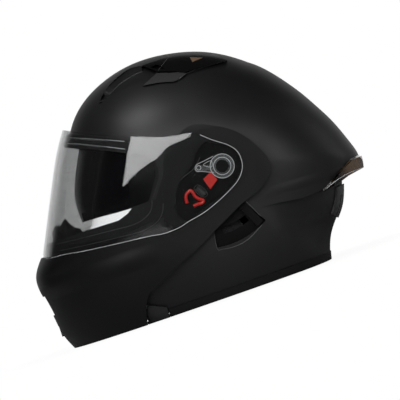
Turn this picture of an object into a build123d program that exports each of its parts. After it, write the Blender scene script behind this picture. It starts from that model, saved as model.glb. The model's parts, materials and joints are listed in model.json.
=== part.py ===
from build123d import *
import math
import os

# Overall size. The helmet stands on its rim, front toward -X, wearer's left side toward -Y.
helmet_length = 356.0
helmet_height = 254.0
shell_half_width = 119.0

# How every curved form rounds over from its flat sides to its middle line.
flat_share = 0.35
crown_flat_share = 0.10
roundness = 2.1
crown_roundness_drop = 0.45
front_roundness_drop = 0.35
back_roundness_drop = 0.20
side_steps = 6

# Walls, layers and gaps, from the shell outward.
shell_wall = 4.0
pod_gap = 0.5
pod_floor = 2.0
pocket_depth = 4.0
visor_gap = 0.5
visor_wall = 2.2
pivot_height = 0.4
base_wall = 1.2
fit_gap = 0.3
bore_gap = 0.05
skin_gap = 0.1
overrun = 200.0

# Layers worked out from those.
pod_inner = shell_half_width + pod_gap
pocket_floor = pod_inner + pod_floor
pod_half_width = pocket_floor + pocket_depth
visor_inner = pod_half_width + visor_gap
visor_half_width = visor_inner + visor_wall
chin_wall = pod_half_width - pod_inner

# Sun visor, inside the shell.
sun_gap = 2.6
sun_wall = 2.2
sun_half_width = shell_half_width - shell_wall - sun_gap
sun_travel_degrees = 25.0
sun_pocket_gap = 2.6

# Linings.
liner_gap = 0.3
pad_wall = 9.7
head_half_width = 80.0
head_gap = 10.0

# Axes that run across the helmet, as shares of its length and height.
hinge_share = (0.059, 0.516)
visor_axis_share = (0.109, 0.492)

# Where a side view zone that runs out past the front or the back of the helmet ends.
front_share = -0.674
back_share = 0.674
over_share = 1.180
under_share = -0.079

# Side view outlines, each point a share of the length and of the height.
body_shares = [
    (-0.264, 0.831), (-0.213, 0.909), (-0.132, 0.970), (-0.034, 1.000), (0.076, 0.990),
    (0.174, 0.949), (0.258, 0.878), (0.331, 0.780), (0.382, 0.673), (0.416, 0.571),
    (0.434, 0.465), (0.435, 0.362), (0.419, 0.268), (0.393, 0.185), (0.354, 0.118),
    (0.326, 0.039), (0.303, -0.079), (0.169, -0.217), (-0.056, -0.256), (-0.236, -0.197),
    (-0.379, -0.079), (-0.413, 0.157), (-0.402, 0.354), (-0.368, 0.551), (-0.323, 0.709),
]
tail_shares = [
    (0.258, 0.872), (0.295, 0.837), (0.321, 0.802), (0.363, 0.730), (0.396, 0.663),
    (0.423, 0.598), (0.447, 0.535), (0.465, 0.476), (0.480, 0.417), (0.490, 0.366),
    (0.483, 0.295), (0.449, 0.177), (0.393, 0.039), (0.309, -0.098), (0.169, -0.197),
    (-0.056, -0.256), (-0.247, -0.217), (-0.365, -0.079), (-0.399, 0.157), (-0.388, 0.354),
    (-0.357, 0.543), (-0.312, 0.701), (-0.256, 0.819), (-0.208, 0.900), (-0.129, 0.963),
    (-0.034, 0.994), (0.073, 0.984), (0.171, 0.943),
]
chin_shares = [
    (-0.458, 0.394), (-0.480, 0.358), (-0.497, 0.315), (-0.499, 0.260), (-0.492, 0.205),
    (-0.485, 0.142), (-0.478, 0.071), (-0.458, 0.000), (-0.393, -0.138), (-0.225, -0.276),
    (0.000, -0.335), (0.225, -0.236), (0.379, 0.000), (0.449, 0.276), (0.449, 0.551),
    (0.400, 0.827), (0.190, 1.040), (-0.070, 1.085), (-0.290, 0.950), (-0.410, 0.700),
    (-0.440, 0.520),
]
visor_shares = [
    (-0.303, 0.807), (-0.331, 0.744), (-0.365, 0.652), (-0.404, 0.543), (-0.437, 0.449),
    (-0.459, 0.382), (-0.466, 0.276), (-0.421, 0.039), (-0.253, -0.197), (0.000, -0.315),
    (0.281, -0.197), (0.478, 0.079), (0.548, 0.433), (0.506, 0.748), (0.337, 0.984),
    (0.112, 1.083), (-0.112, 1.031), (-0.230, 0.937),
]
sun_shares = [
    (-0.261, 0.744), (-0.295, 0.650), (-0.317, 0.563), (-0.319, 0.469), (-0.295, 0.335),
    (-0.197, 0.138), (-0.056, 0.000), (0.140, 0.000), (0.309, 0.157), (0.407, 0.394),
    (0.393, 0.669), (0.281, 0.886), (0.140, 0.984), (-0.028, 0.976), (-0.140, 0.913),
    (-0.211, 0.835),
]
head_shares = [
    (-0.236, 0.669), (-0.197, 0.780), (-0.112, 0.850), (0.000, 0.874), (0.126, 0.850),
    (0.239, 0.748), (0.298, 0.610), (0.309, 0.472), (0.289, 0.335), (0.258, 0.197),
    (0.236, 0.039), (0.219, -0.157), (0.000, -0.315), (-0.197, -0.197), (-0.247, 0.039),
    (-0.258, 0.315), (-0.256, 0.512),
]

# Side view lines that the pieces are cut to, as the same kind of shares.
port_top_shares = [
    (front_share, 1.063), (-0.289, 0.783), (-0.202, 0.724), (-0.124, 0.669), (-0.084, 0.642),
]
port_back_shares = [
    (-0.084, 0.642), (-0.070, 0.622), (-0.062, 0.579), (-0.065, 0.543), (-0.090, 0.492),
    (-0.115, 0.441), (-0.129, 0.406), (-0.143, 0.370),
]
shell_front_shares = [
    (-0.143, 0.370), (-0.180, 0.236), (-0.232, 0.118), (-0.240, under_share),
    (front_share, under_share), (front_share, 1.063),
]
visor_top_shares = [
    (-0.365, 0.902), (-0.275, 0.832), (-0.190, 0.770), (-0.111, 0.723), (-0.031, 0.680), (0.025, 0.661),
]
visor_back_shares = [
    (0.025, 0.661), (0.062, 0.651), (0.080, 0.638), (0.108, 0.603), (0.146, 0.563),
    (0.164, 0.525), (0.166, 0.481), (0.157, 0.447), (0.133, 0.412), (0.081, 0.374),
    (0.022, 0.343), (-0.027, 0.329), (-0.062, 0.318),
]
visor_low_shares = [
    (-0.062, 0.318), (-0.106, 0.316), (-0.149, 0.325), (-0.237, 0.338), (-0.339, 0.354),
    (-0.396, 0.366), (-0.439, 0.366), (-0.458, 0.384),
]
chin_top_shares = [(-0.430, 0.415), (-0.330, 0.391), (-0.260, 0.370), (-0.173, 0.353), (-0.124, 0.362)]
gasket_top_shares = [
    (-0.430, 0.430), (-0.333, 0.429), (-0.260, 0.426), (-0.213, 0.424), (-0.182, 0.438), (-0.163, 0.456),
    (-0.080, 0.456), (-0.080, 0.362),
]
arm_front_shares = [
    (-0.124, 0.362), (-0.115, 0.406), (-0.101, 0.441), (-0.076, 0.492), (-0.051, 0.543),
    (-0.039, 0.591), (-0.014, 0.634), (0.025, 0.661),
]
pod_shares = [
    (0.025, 0.661), (0.045, 0.678), (0.070, 0.681), (0.098, 0.669), (0.128, 0.648),
    (0.161, 0.620), (0.188, 0.585), (0.209, 0.546), (0.227, 0.498), (0.236, 0.460),
    (0.234, 0.427), (0.225, 0.402), (0.206, 0.377), (0.176, 0.353), (0.135, 0.333),
    (0.081, 0.298), (0.033, 0.265), (-0.022, 0.226), (-0.075, 0.195), (-0.147, 0.149),
    (-0.202, 0.112),
]
chin_end_shares = [
    (-0.202, 0.112), (-0.217, 0.077), (-0.228, 0.031), (-0.242, under_share), (front_share, under_share),
]
pocket_shares = [
    (0.092, 0.602), (0.138, 0.567), (0.162, 0.539), (0.168, 0.502), (0.159, 0.455),
    (0.141, 0.430), (0.077, 0.380), (0.008, 0.350), (-0.042, 0.334), (-0.052, 0.350),
    (-0.057, 0.390), (-0.042, 0.438), (-0.018, 0.486), (0.036, 0.545), (0.057, 0.581),
    (0.080, 0.600),
]
brow_gasket_shares = [
    (-0.340, 0.876), (-0.278, 0.819), (-0.191, 0.760), (-0.112, 0.705), (-0.112, 0.652),
    (-0.129, 0.661), (-0.205, 0.715), (-0.295, 0.772), (-0.360, 0.818),
]
side_gasket_shares = [
    (-0.110, 0.701), (-0.067, 0.673), (-0.034, 0.642), (-0.045, 0.591), (-0.056, 0.543),
    (-0.081, 0.492), (-0.107, 0.441), (-0.121, 0.406), (-0.132, 0.374), (-0.152, 0.374),
    (-0.138, 0.406), (-0.124, 0.441), (-0.098, 0.492), (-0.073, 0.543), (-0.070, 0.579),
    (-0.079, 0.616), (-0.093, 0.634), (-0.110, 0.650),
]
lens_shares = [
    (-0.393, 0.760), (-0.247, 0.760), (-0.128, 0.685), (-0.139, 0.622), (-0.158, 0.524),
    (-0.172, 0.455), (-0.222, 0.458), (-0.267, 0.463), (-0.393, 0.470),
]
sun_arm_shares = [
    (-0.128, 0.685), (-0.139, 0.622), (-0.158, 0.524), (-0.172, 0.455), (-0.084, 0.441),
    (0.059, 0.445), (0.059, 0.587), (-0.028, 0.661),
]
sun_pocket_shares = [
    (front_share, 0.354), (0.146, 0.354), (0.146, 0.461), (0.143, 0.600), (0.078, 0.728),
    (0.000, 0.845), (-0.060, 1.063), (front_share, 1.063),
]
liner_keep_shares = [
    (front_share, 0.374), (0.126, 0.374), (0.163, 0.118), (back_share, 0.118),
    (back_share, over_share), (front_share, over_share),
]
crown_keep_shares = [
    (front_share, 0.701), (-0.084, 0.701), (0.056, 0.551), (0.309, 0.433), (back_share, 0.433),
    (back_share, over_share), (front_share, over_share),
]
cheek_pad_shares = [
    (-0.084, 0.338), (0.070, 0.338), (0.110, 0.285), (0.108, 0.130), (0.056, 0.080), (-0.067, 0.080),
    (-0.112, 0.157), (-0.107, 0.285),
]
tail_zone_shares = [
    (0.140, 0.290), (0.181, 0.288), (0.220, 0.285), (0.292, 0.271), (0.354, 0.275),
    (0.390, 0.300), (0.429, 0.332), (0.461, 0.354), (0.562, 0.366), (0.562, 1.063), (0.140, 1.063),
]
trim_line_shares = [(0.354, 0.275), (0.390, 0.300), (0.429, 0.332), (0.461, 0.354), (0.562, 0.366)]
spoiler_shares = [
    (0.354, 0.267), (0.390, 0.292), (0.429, 0.324), (0.461, 0.346), (0.562, 0.358),
    (0.501, 0.305), (0.466, 0.299), (0.437, 0.293), (0.400, 0.277),
]
rear_vent_shares = [
    (0.348, 0.250), (0.388, 0.262), (0.450, 0.272), (0.450, 0.180), (0.381, 0.142), (0.343, 0.189),
]
scoop_shares = [
    (-0.158, 0.890), (-0.117, 0.943), (-0.081, 0.967), (-0.047, 0.981), (-0.014, 0.974),
    (0.022, 0.931), (-0.004, 0.909), (-0.034, 0.911), (-0.064, 0.912), (-0.096, 0.907), (-0.129, 0.897),
]
vent_body_shares = [
    (-0.010, 0.974), (0.025, 0.929), (0.079, 0.902), (0.097, 0.889), (0.142, 0.888),
    (0.187, 0.884), (0.223, 0.883), (0.193, 0.923), (0.127, 0.951), (0.072, 0.973),
]
vent_wing_shares = [
    (-0.026, 0.894), (0.022, 0.924), (0.074, 0.900), (0.086, 0.899), (0.102, 0.885),
    (0.084, 0.874), (0.061, 0.868), (0.020, 0.884),
]
vent_shutter_shares = [(0.010, 0.955), (0.028, 0.938), (0.048, 0.930), (0.030, 0.958)]
corner_shares = [
    (-0.2147, 0.074), (-0.165, 0.043), (-0.165, under_share), (-0.2397, under_share), (-0.2257, 0.031),
]
corner_cut_shares = [
    (-0.300, 0.105), (-0.213, 0.074), (-0.165, 0.043), (-0.165, under_share), (-0.300, under_share),
]
chin_liner_shares = [
    (front_share, 0.331), (-0.421, 0.331), (-0.281, 0.307), (-0.236, 0.236), (-0.236, 0.055),
    (front_share, 0.055),
]
breath_shares = [
    (-0.430, 0.380), (-0.424, 0.440), (-0.400, 0.478), (-0.376, 0.495), (-0.352, 0.440), (-0.340, 0.380),
]
fork_shares = [
    (0.007, 0.453), (0.034, 0.380), (0.025, 0.367), (-0.004, 0.373), (-0.022, 0.399), (-0.006, 0.438),
]
fork_gap_shares = [(0.003, 0.425), (0.016, 0.390), (-0.004, 0.391)]
slider_shares = [(0.073, 0.485), (0.047, 0.468), (0.057, 0.422), (0.084, 0.448)]
lock_arm_shares = [(-0.290, 0.060), (-0.290, 0.142), (-0.180, 0.150), (-0.140, 0.110), (-0.150, 0.060)]
lock_pin_share = (-0.157, 0.094)

# Rim trim.
trim_height = 8.0
trim_floor = 2.4
trim_proud = 1.0
trim_inside = 1.0

# Hinges, pivots and their small parts.
hinge_boss_radius = 8.0
hinge_pin_radius = 6.0
hinge_flange_radius = 11.0
pivot_radius = 6.3
gear_radius = 12.4
gear_arm_length = 24.0
gear_arm_width = 5.6
gear_boss_radius = 3.6
gear_arm_degrees = 167.5
base_size_share = 0.965
slider_height = 2.2
slider_travel = 4.0
fork_height = 2.0
rail_width = 1.6
rail_height = 1.4
rail_shares = [((-0.014, 0.454), (0.026, 0.482)), ((-0.006, 0.466), (0.030, 0.491))]
screw_radius = 2.4
screw_height = 1.0
screw_shares = [(-0.035, 0.365), (0.140, 0.540), (0.100, 0.575)]

# Sun visor lever and the fan-shaped window that it moves in.
fan_inner_radius = 50.0
fan_outer_radius = 82.0
fan_start_degrees = -99.5
fan_end_degrees = -60.0
lever_length = 26.0
lever_width = 7.6
lever_height = 3.6
lever_radius = 67.0
lever_degrees = -64.2
stem_radius = 3.0
tray_wall = 1.5
tray_margin = 4.0
sun_ring_radius = 18.0
sun_tail_width = 11.0

# Raised trim pieces.
brow_gasket_proud = 2.5
side_gasket_proud = 0.2
vent_proud = 3.4
vent_wing_proud = 2.2
vent_shutter_depth = 3.0
scoop_depth = 2.9
corner_proud = 2.6
rear_vent_proud = 2.0
rear_vent_half_width = 52.0
rear_slot_width = 5.0
rear_slot_count = 6
spoiler_grow = 3.0
spoiler_depth = 15.0
spoiler_half_width = 88.0
silver_wall = 1.6
silver_proud = 0.8
silver_depth = 6.0

# Chin bar details.
rebate_gap = 0.45
lip_wall = 2.6
lip_share = 0.012
arm_clear_radius = 70.0
arm_clear_gap = 0.35
chin_liner_wall = 17.0
curtain_depth = 52.0
curtain_wall = 2.0
curtain_height = 11.0
curtain_back_share = -0.25
breath_half_width = 38.0
breath_wall = 2.0
breath_inset = 10.5
lower_gasket_wall = 0.6
vent_window_half_width = 26.0
vent_window_low_share = 0.150
vent_window_high_share = 0.235
vent_frame_face_share = -0.4815
vent_frame_wall = 2.0
vent_slot_half_width = 20.0
vent_slot_height = 4.0
vent_rail_gap = 0.4
vent_slot_half_height = 1.3
vent_slider_half_width = 9.0
vent_slider_height = 8.0
vent_slider_wall = 2.0
vent_slider_round = 1.6
vent_slider_travel = 6.0
button_half_width = 13.0
button_low = 15.0
button_height = 11.0
button_depth = 7.0
button_travel = 3.0
button_proud = 0.6
button_round = 1.2
lock_pin_radius = 3.0
lock_pin_length = 8.0
lock_fork_wall = 4.0
lock_fork_place_share = 0.72
lock_slot_half_width = 3.5
lock_mouth_half_width = 6.5
lock_mouth_length = 22.0

# Straps and buckle.
strap_x = -16.0
strap_width = 22.0
strap_wall = 1.8
strap_bottom = 6.6
strap_top = 60.0
strap_bend = 9.0
strap_drop_width = 107.5
strap_foot_width = 98.0
strap_end_width = 26.0
strap_groove_gap = 1.0
rivet_radius = 6.0
rivet_drop = 9.0
rivet_stand = 3.1
strap_pad_start = 34.0
strap_pad_end = 84.0
strap_pad_width = 32.0
strap_pad_wall = 5.0
strap_pad_round_share = 0.22
strap_pad_rise_shares = (0, 0.35, 0.75, 1.0)
strap_pad_width_shares = (0.92, 1.0, 0.92, 0.62)
strap_pad_end_gaps = (1.0, 0.0, 1.5, 6.0)
buckle_half_width = 14.0
buckle_start = -26.0
buckle_end = 10.0
buckle_bottom = 4.6
buckle_height = 7.4
buckle_round = 3.0
tongue_half_width = 7.6
tongue_wall = 1.6
tongue_start = -14.0
tooth_pitch = 3.0
tooth_height = 0.8
tooth_count = 6
lever_plate_wall = 2.0
lever_plate_end = 4.0
lever_pin_radius = 1.2

# Cheek pads and neck roll.
cheek_outer = shell_half_width - shell_wall - fit_gap
cheek_face = 64.0
cheek_steps = [(0.0, 1.0), (0.5, 1.0), (0.8, 0.93), (0.94, 0.80), (1.0, 0.62)]
roll_gap = 1.5
neck_roll_wall = 18.0
neck_roll_low = 4.0
neck_roll_high = 27.0
neck_roll_front_share = 0.14


def spot(point_shares):
    """A point of the side view, as a length along X and a height."""
    along_share, up_share = point_shares
    return helmet_length * along_share, helmet_height * up_share


hinge_x, hinge_z = spot(hinge_share)
axis_x, axis_z = spot(visor_axis_share)
made_forms = {}


def drawn_in(turn, ahead_share, up_share):
    """How far a section is drawn in: less round over the ears, rounder at crown, front and back."""
    crown_share = max(up_share, 0) ** 2
    back_share = max(ahead_share, 0) ** 2
    front_share = max(-ahead_share, 0) ** 2
    power = (roundness - crown_roundness_drop * crown_share - back_roundness_drop * back_share
             - front_roundness_drop * front_share)
    flat = flat_share - crown_flat_share * crown_share
    return flat + (1 - flat) * abs(math.cos(turn)) ** (2 / power)


def form(name, shares, centre, half_width, grow=0):
    """A closed body: one side outline, drawn in toward its centre as it goes out to each flat side."""
    key = (name, round(grow, 6))
    if key in made_forms:
        return made_forms[key]
    wires = []
    for step in range(-side_steps, side_steps + 1):
        turn = math.radians(90.0 * step / side_steps)
        out_share = abs(math.sin(turn)) ** (2 / roundness) * (1 if step >= 0 else -1)
        points = []
        for point_shares in shares:
            x, z = spot(point_shares)
            reach = math.hypot(x - centre[0], z - centre[1])
            ahead_share = (x - centre[0]) / reach
            up_share = (z - centre[1]) / reach
            scale = (reach + grow) / reach * drawn_in(turn, ahead_share, up_share)
            points.append(Vector(centre[0] + (x - centre[0]) * scale,
                                 (half_width + grow) * out_share,
                                 centre[1] + (z - centre[1]) * scale))
        wires.append(Wire(Spline(*points, periodic=True)))
    made_forms[key] = Solid.make_loft(wires, ruled=False)
    return made_forms[key]


def body_form(grow=0):
    return form("body", body_shares, (hinge_x, hinge_z), shell_half_width, grow)


def tail_form(grow=0):
    return form("tail", tail_shares, (hinge_x, hinge_z), shell_half_width - pod_gap, grow)


def chin_form(grow=0):
    return form("chin", chin_shares, (hinge_x, hinge_z), pod_half_width, grow)


def visor_form(grow=0):
    return form("visor", visor_shares, (axis_x, axis_z), visor_half_width, grow)


def sun_form(grow=0):
    return form("sun", sun_shares, (hinge_x, hinge_z), sun_half_width, grow)


def head_form(grow=0):
    return form("head", head_shares, (hinge_x, hinge_z), head_half_width, grow)


def side_face(runs):
    """A face in the middle plane, from straight and curved runs of side view points."""
    edges = []
    for kind, shares in runs:
        points = []
        for point_shares in shares:
            x, z = spot(point_shares)
            points.append(Vector(x, 0, z))
        if kind == "curve":
            edges.extend(Spline(*points).edges())
        else:
            edges.extend(Polyline(*points).edges())
    return Face(Wire(edges))


def across(face, side=0, start=0, end=overrun):
    """The face carried across the helmet: both ways, or on one side from start to end."""
    if side == 0:
        return extrude(Pos(0, -overrun, 0) * face, amount=2 * overrun, dir=(0, 1, 0))
    return extrude(Pos(0, side * start, 0) * face, amount=end - start, dir=(0, side, 0))


def zone(shares, side=0, start=0, end=overrun):
    """A body with straight side view edges through the given points."""
    return across(side_face([("line", shares + shares[:1])]), side, start, end)


def smooth_zone(shares, side=0, start=0, end=overrun, scale=1.0, centre=None):
    """A body with one smooth closed side view outline, scaled about a centre where asked."""
    points = []
    for point_shares in shares:
        x, z = spot(point_shares)
        if centre:
            x = centre[0] + (x - centre[0]) * scale
            z = centre[1] + (z - centre[1]) * scale
        points.append(Vector(x, 0, z))
    return across(Face(Wire(Spline(*points, periodic=True))), side, start, end)


def slab(low, high):
    """A box from its lowest to its highest corner."""
    size = Vector(*high) - Vector(*low)
    return Pos(*low) * Box(size.X, size.Y, size.Z, align=(Align.MIN, Align.MIN, Align.MIN))


def rod(place, radius, side, start, end):
    """A round bar across the helmet on one side, from start to end."""
    plane = Plane(origin=(place[0], side * start, place[1]), z_dir=(0, side, 0))
    return extrude(plane * Circle(radius), amount=end - start)


def polar(centre, radius, degrees):
    """The side view point at a radius and an angle from a centre."""
    return (centre[0] + radius * math.cos(math.radians(degrees)),
            centre[1] + radius * math.sin(math.radians(degrees)))


def sector(centre, inner, outer, start_degrees, end_degrees, side, start, end):
    """A piece of a flat ring across the helmet, between two radii and two angles."""
    plane = Plane(origin=(centre[0], 0, centre[1]), x_dir=(1, 0, 0), z_dir=(0, -1, 0))
    middle = (start_degrees + end_degrees) / 2
    inner_ends = [polar((0, 0), inner, turn) for turn in (start_degrees, middle, end_degrees)]
    outer_ends = [polar((0, 0), outer, turn) for turn in (start_degrees, middle, end_degrees)]
    edges = [
        ThreePointArc(*inner_ends), Line(inner_ends[2], outer_ends[2]),
        ThreePointArc(*reversed(outer_ends)), Line(outer_ends[0], inner_ends[0]),
    ]
    face = plane * Face(Wire([edge.edge() for edge in edges]))
    return across(face, side, start, end)


def bar(centre, degrees, radius, length, width, side, start, end):
    """A straight bar across the helmet that points away from a centre."""
    place = polar(centre, radius, degrees)
    plane = Plane(origin=(place[0], 0, place[1]), x_dir=(1, 0, 0), z_dir=(0, -1, 0))
    face = plane * (Rot(0, 0, degrees) * Rectangle(length, width)).face()
    return across(face, side, start, end)


def above(height):
    """Everything over a height."""
    return slab((-overrun * 2, -overrun * 2, height), (overrun * 2, overrun * 2, overrun * 2))


def band(low, high):
    """Everything between two heights."""
    return slab((-overrun * 2, -overrun * 2, low), (overrun * 2, overrun * 2, high))


def biggest(shape):
    """The largest solid of a shape, without the crumbs of a cut."""
    return max(shape.solids(), key=lambda solid: solid.volume)


def skin(outer, inner, piece):
    """What a cutting body takes out of the layer between two forms."""
    return (piece & outer) - inner


def port_zone():
    """All that lies in front of the shell's edge: the eye port and the space under it."""
    runs = [("curve", port_top_shares[1:]), ("curve", port_back_shares),
            ("line", shell_front_shares), ("line", [port_top_shares[0], port_top_shares[1]])]
    return across(side_face(runs))


def visor_zone():
    """The side view of the clear visor, run out past its front."""
    front_low = (front_share, visor_low_shares[-1][1])
    front_high = (front_share, visor_top_shares[0][1])
    runs = [("curve", visor_top_shares), ("curve", visor_back_shares), ("curve", visor_low_shares),
            ("line", [visor_low_shares[-1], front_low, front_high, visor_top_shares[0]])]
    return across(side_face(runs))


def chin_zone():
    """The side view of the chin bar with its arms and side pods."""
    front_top = (front_share, chin_top_shares[0][1])
    runs = [("curve", chin_top_shares), ("curve", arm_front_shares), ("curve", pod_shares),
            ("line", chin_end_shares + [front_top, chin_top_shares[0]])]
    return across(side_face(runs))


def corner_zone():
    """The shell's cut lower front corner, open toward the chin bar."""
    return zone(corner_cut_shares)


def outer_shell():
    """The painted shell: a crown with flat sides, a ducktail, scoops and the lever's window."""
    shape = body_form() + (tail_form() & zone(tail_zone_shares))
    shape = shape & above(trim_floor)
    shape = shape - body_form(-shell_wall)
    shape = shape - port_zone()
    shape = shape - corner_zone()
    for side in (-1, 1):
        scoop = smooth_zone(scoop_shares, side) - body_form(-scoop_depth)
        shape = shape - scoop
        bore = hinge_boss_radius + bore_gap
        shape = shape - rod((hinge_x, hinge_z), bore, side, sun_half_width, pod_inner)
    window = sector((hinge_x, hinge_z), fan_inner_radius, fan_outer_radius, fan_start_degrees,
                    fan_end_degrees, -1, sun_half_width, pod_inner)
    shape = shape - window
    return biggest(shape)


def rim_trim():
    """The soft edging under the shell's rim: a channel that the rim stands in."""
    ring = band(0, trim_height) - port_zone() - corner_zone()
    shape = skin(body_form(trim_proud), body_form(-shell_wall - trim_inside), ring)
    channel = skin(body_form(skin_gap), body_form(-shell_wall - skin_gap), band(trim_floor, trim_height * 2))
    return biggest(shape - channel)


def corner_clips():
    """The two hard clips that close the rim at the front corners of the shell."""
    wedge = skin(body_form(corner_proud), body_form(-shell_wall), smooth_free_corner() & above(0))
    return Compound([biggest(wedge & half(side)) for side in (-1, 1)])


def smooth_free_corner():
    """The corner's own side view, drawn in by the fit gap from the shell and the trim."""
    shares = []
    drawn_in = fit_gap / helmet_length
    for along_share, up_share in corner_shares:
        shares.append((along_share - drawn_in, up_share - drawn_in))
    return zone(shares)


def half(side):
    """Everything on one side of the middle plane."""
    if side < 0:
        return slab((-overrun * 2, -overrun, -overrun), (overrun * 2, 0, overrun * 2))
    return slab((-overrun * 2, 0, -overrun), (overrun * 2, overrun, overrun * 2))


def eps_liner():
    """The impact foam, with room at its front and sides for the sun visor."""
    shape = body_form(-shell_wall - liner_gap) & zone(liner_keep_shares)
    shape = shape - head_form(head_gap)
    shape = shape - port_zone()
    shape = shape - (zone(sun_pocket_shares) - sun_form(-sun_wall - sun_pocket_gap))
    return biggest(shape - lever_room())


def crown_pad():
    """The cloth lining over the top and back of the head."""
    shape = skin(head_form(pad_wall), head_form(), zone(crown_keep_shares))
    return biggest(shape - port_zone())


def cheek_pad(side):
    """One cheek pad: a cushion with a crowned face, set against the shell's wall."""
    centre_x = sum(spot(point)[0] for point in cheek_pad_shares) / len(cheek_pad_shares)
    centre_z = sum(spot(point)[1] for point in cheek_pad_shares) / len(cheek_pad_shares)
    wires = []
    for depth_share, width_share in cheek_steps:
        y = side * (cheek_outer + (cheek_face - cheek_outer) * depth_share)
        points = []
        for point_shares in cheek_pad_shares:
            x, z = spot(point_shares)
            points.append(Vector(centre_x + (x - centre_x) * width_share, y,
                                 centre_z + (z - centre_z) * width_share))
        wires.append(Wire(Spline(*points, periodic=True)))
    shape = Solid.make_loft(wires, ruled=False) & body_form(-shell_wall - fit_gap)
    groove_start = strap_foot_width - strap_wall
    groove = slab((strap_x - strap_width / 2 - strap_groove_gap, groove_start, 0),
                  (strap_x + strap_width / 2 + strap_groove_gap, overrun, helmet_height))
    if side < 0:
        groove = mirror(groove, about=Plane.XZ) + lever_room()
    return biggest(shape - groove)


def lever_room():
    """The space behind the shell that the sun visor's lever arm sweeps through."""
    reach = fan_outer_radius + tray_margin + fit_gap
    return sector((hinge_x, hinge_z), hinge_flange_radius, reach, fan_start_degrees - tray_margin * 2,
                  fan_end_degrees + tray_margin * 2, -1, sun_half_width - sun_wall - fit_gap * 2, overrun)


def neck_roll():
    """The soft roll round the nape, just inside the rim."""
    front = helmet_length * neck_roll_front_share
    piece = slab((front, -overrun, neck_roll_low), (overrun * 2, overrun, neck_roll_high))
    inner = body_form(-shell_wall - roll_gap - neck_roll_wall)
    return biggest(skin(body_form(-shell_wall - roll_gap), inner, piece))


def brow_gasket():
    """The seal over the eye port that the closed visor comes down on."""
    strip = zone(brow_gasket_shares)
    shape = skin(body_form(brow_gasket_proud), body_form(skin_gap), strip)
    lip = skin(body_form(brow_gasket_proud), body_form(-shell_wall), strip & port_zone())
    return biggest(shape + lip)


def side_gasket(side):
    """The seal down the back edge of the eye port."""
    strip = zone(side_gasket_shares, side) & port_zone()
    return biggest(skin(body_form(side_gasket_proud), body_form(-shell_wall), strip))


def top_vent(side):
    """One lobe of the gloss top vent, with a seat for its shutter."""
    shape = skin(body_form(vent_proud), body_form(skin_gap), zone(vent_body_shares, side))
    seat = zone(vent_shutter_shares, side) - body_form(vent_proud - vent_shutter_depth)
    return biggest(shape - seat)


def top_vent_wing(side):
    """The lighter fin under one vent lobe."""
    piece = zone(vent_wing_shares, side) - zone(vent_body_shares, side)
    return biggest(skin(body_form(vent_wing_proud), body_form(skin_gap), piece))


def tail_slab():
    """The width that the spoiler and its silver line take up."""
    return slab((0, -spoiler_half_width, 0), (overrun * 2, spoiler_half_width, overrun))


def rear_spoiler():
    """The smoked clear lip under the ducktail."""
    piece = zone(spoiler_shares) & tail_slab()
    shape = skin(tail_form(spoiler_grow), tail_form(-spoiler_depth), piece)
    return biggest(shape - body_form(skin_gap))


def spoiler_trim():
    """The silver line between the ducktail and the spoiler."""
    drop = silver_wall / helmet_height
    under_shares = [(along_share, up_share - drop) for along_share, up_share in reversed(trim_line_shares)]
    piece = zone(trim_line_shares + under_shares)
    piece = piece & tail_slab()
    shape = skin(tail_form(silver_proud), tail_form(-silver_depth), piece)
    return biggest(shape - body_form(skin_gap))


def rear_vent():
    """The slotted outlet under the spoiler."""
    piece = zone(rear_vent_shares)
    piece = piece & slab((0, -rear_vent_half_width, 0), (overrun * 2, rear_vent_half_width, overrun))
    shape = skin(body_form(rear_vent_proud), body_form(skin_gap), piece)
    pitch = 2 * rear_vent_half_width / (rear_slot_count + 1)
    low = helmet_height * rear_vent_shares[4][1] + rear_slot_width
    high = helmet_height * rear_vent_shares[0][1] - rear_slot_width
    for slot in range(rear_slot_count):
        y = -rear_vent_half_width + pitch * (slot + 1)
        shape = shape - slab((0, y - rear_slot_width / 2, low), (overrun * 2, y + rear_slot_width / 2, high))
    return biggest(shape)


def chin_hinge(side):
    """The fixed pin that the chin bar and the sun visor turn on."""
    flange_start = sun_half_width - sun_wall - fit_gap - rail_width / 2
    boss_start = sun_half_width - sun_wall - fit_gap
    centre = (hinge_x, hinge_z)
    shape = rod(centre, hinge_flange_radius, side, flange_start, boss_start)
    shape = shape + rod(centre, hinge_boss_radius, side, boss_start, shell_half_width)
    return biggest(shape + rod(centre, hinge_pin_radius, side, shell_half_width, pocket_floor))


def lever_tray():
    """The plate behind the lever's window, with the curved slot that the stem moves in."""
    centre = (hinge_x, hinge_z)
    margin_degrees = math.degrees(tray_margin / fan_outer_radius)
    plate = sector(centre, fan_inner_radius - tray_margin, fan_outer_radius + tray_margin,
                   fan_start_degrees - margin_degrees, fan_end_degrees + margin_degrees, -1, 0, overrun)
    plate = skin(body_form(-shell_wall - skin_gap), body_form(-shell_wall - tray_wall), plate)
    stem_degrees = math.degrees((stem_radius + fit_gap * 2) / lever_radius)
    slot = sector(centre, lever_radius - stem_radius - fit_gap, lever_radius + stem_radius + fit_gap,
                  lever_degrees - sun_travel_degrees - stem_degrees, lever_degrees + stem_degrees,
                  -1, 0, overrun)
    return biggest(plate - slot)


def sun_visor():
    """The dark lens that drops behind the clear visor."""
    return biggest(skin(sun_form(), sun_form(-sun_wall), zone(lens_shares)))


def sun_arm(side):
    """One side arm of the sun visor, with the ring that turns on the hinge."""
    ring_zone = rod((hinge_x, hinge_z), sun_ring_radius, side, 0, overrun)
    shape = biggest(skin(sun_form(), sun_form(-sun_wall), zone(sun_arm_shares, side) + ring_zone))
    if side < 0:
        centre = (hinge_x, hinge_z)
        reach = lever_radius + stem_radius * 2
        tail = bar(centre, lever_degrees, reach / 2, reach, sun_tail_width, -1,
                   sun_half_width - sun_wall, sun_half_width)
        shape = shape + tail
    shape = shape - rod((hinge_x, hinge_z), hinge_boss_radius + bore_gap, side, 0, overrun)
    return biggest(shape)


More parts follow.
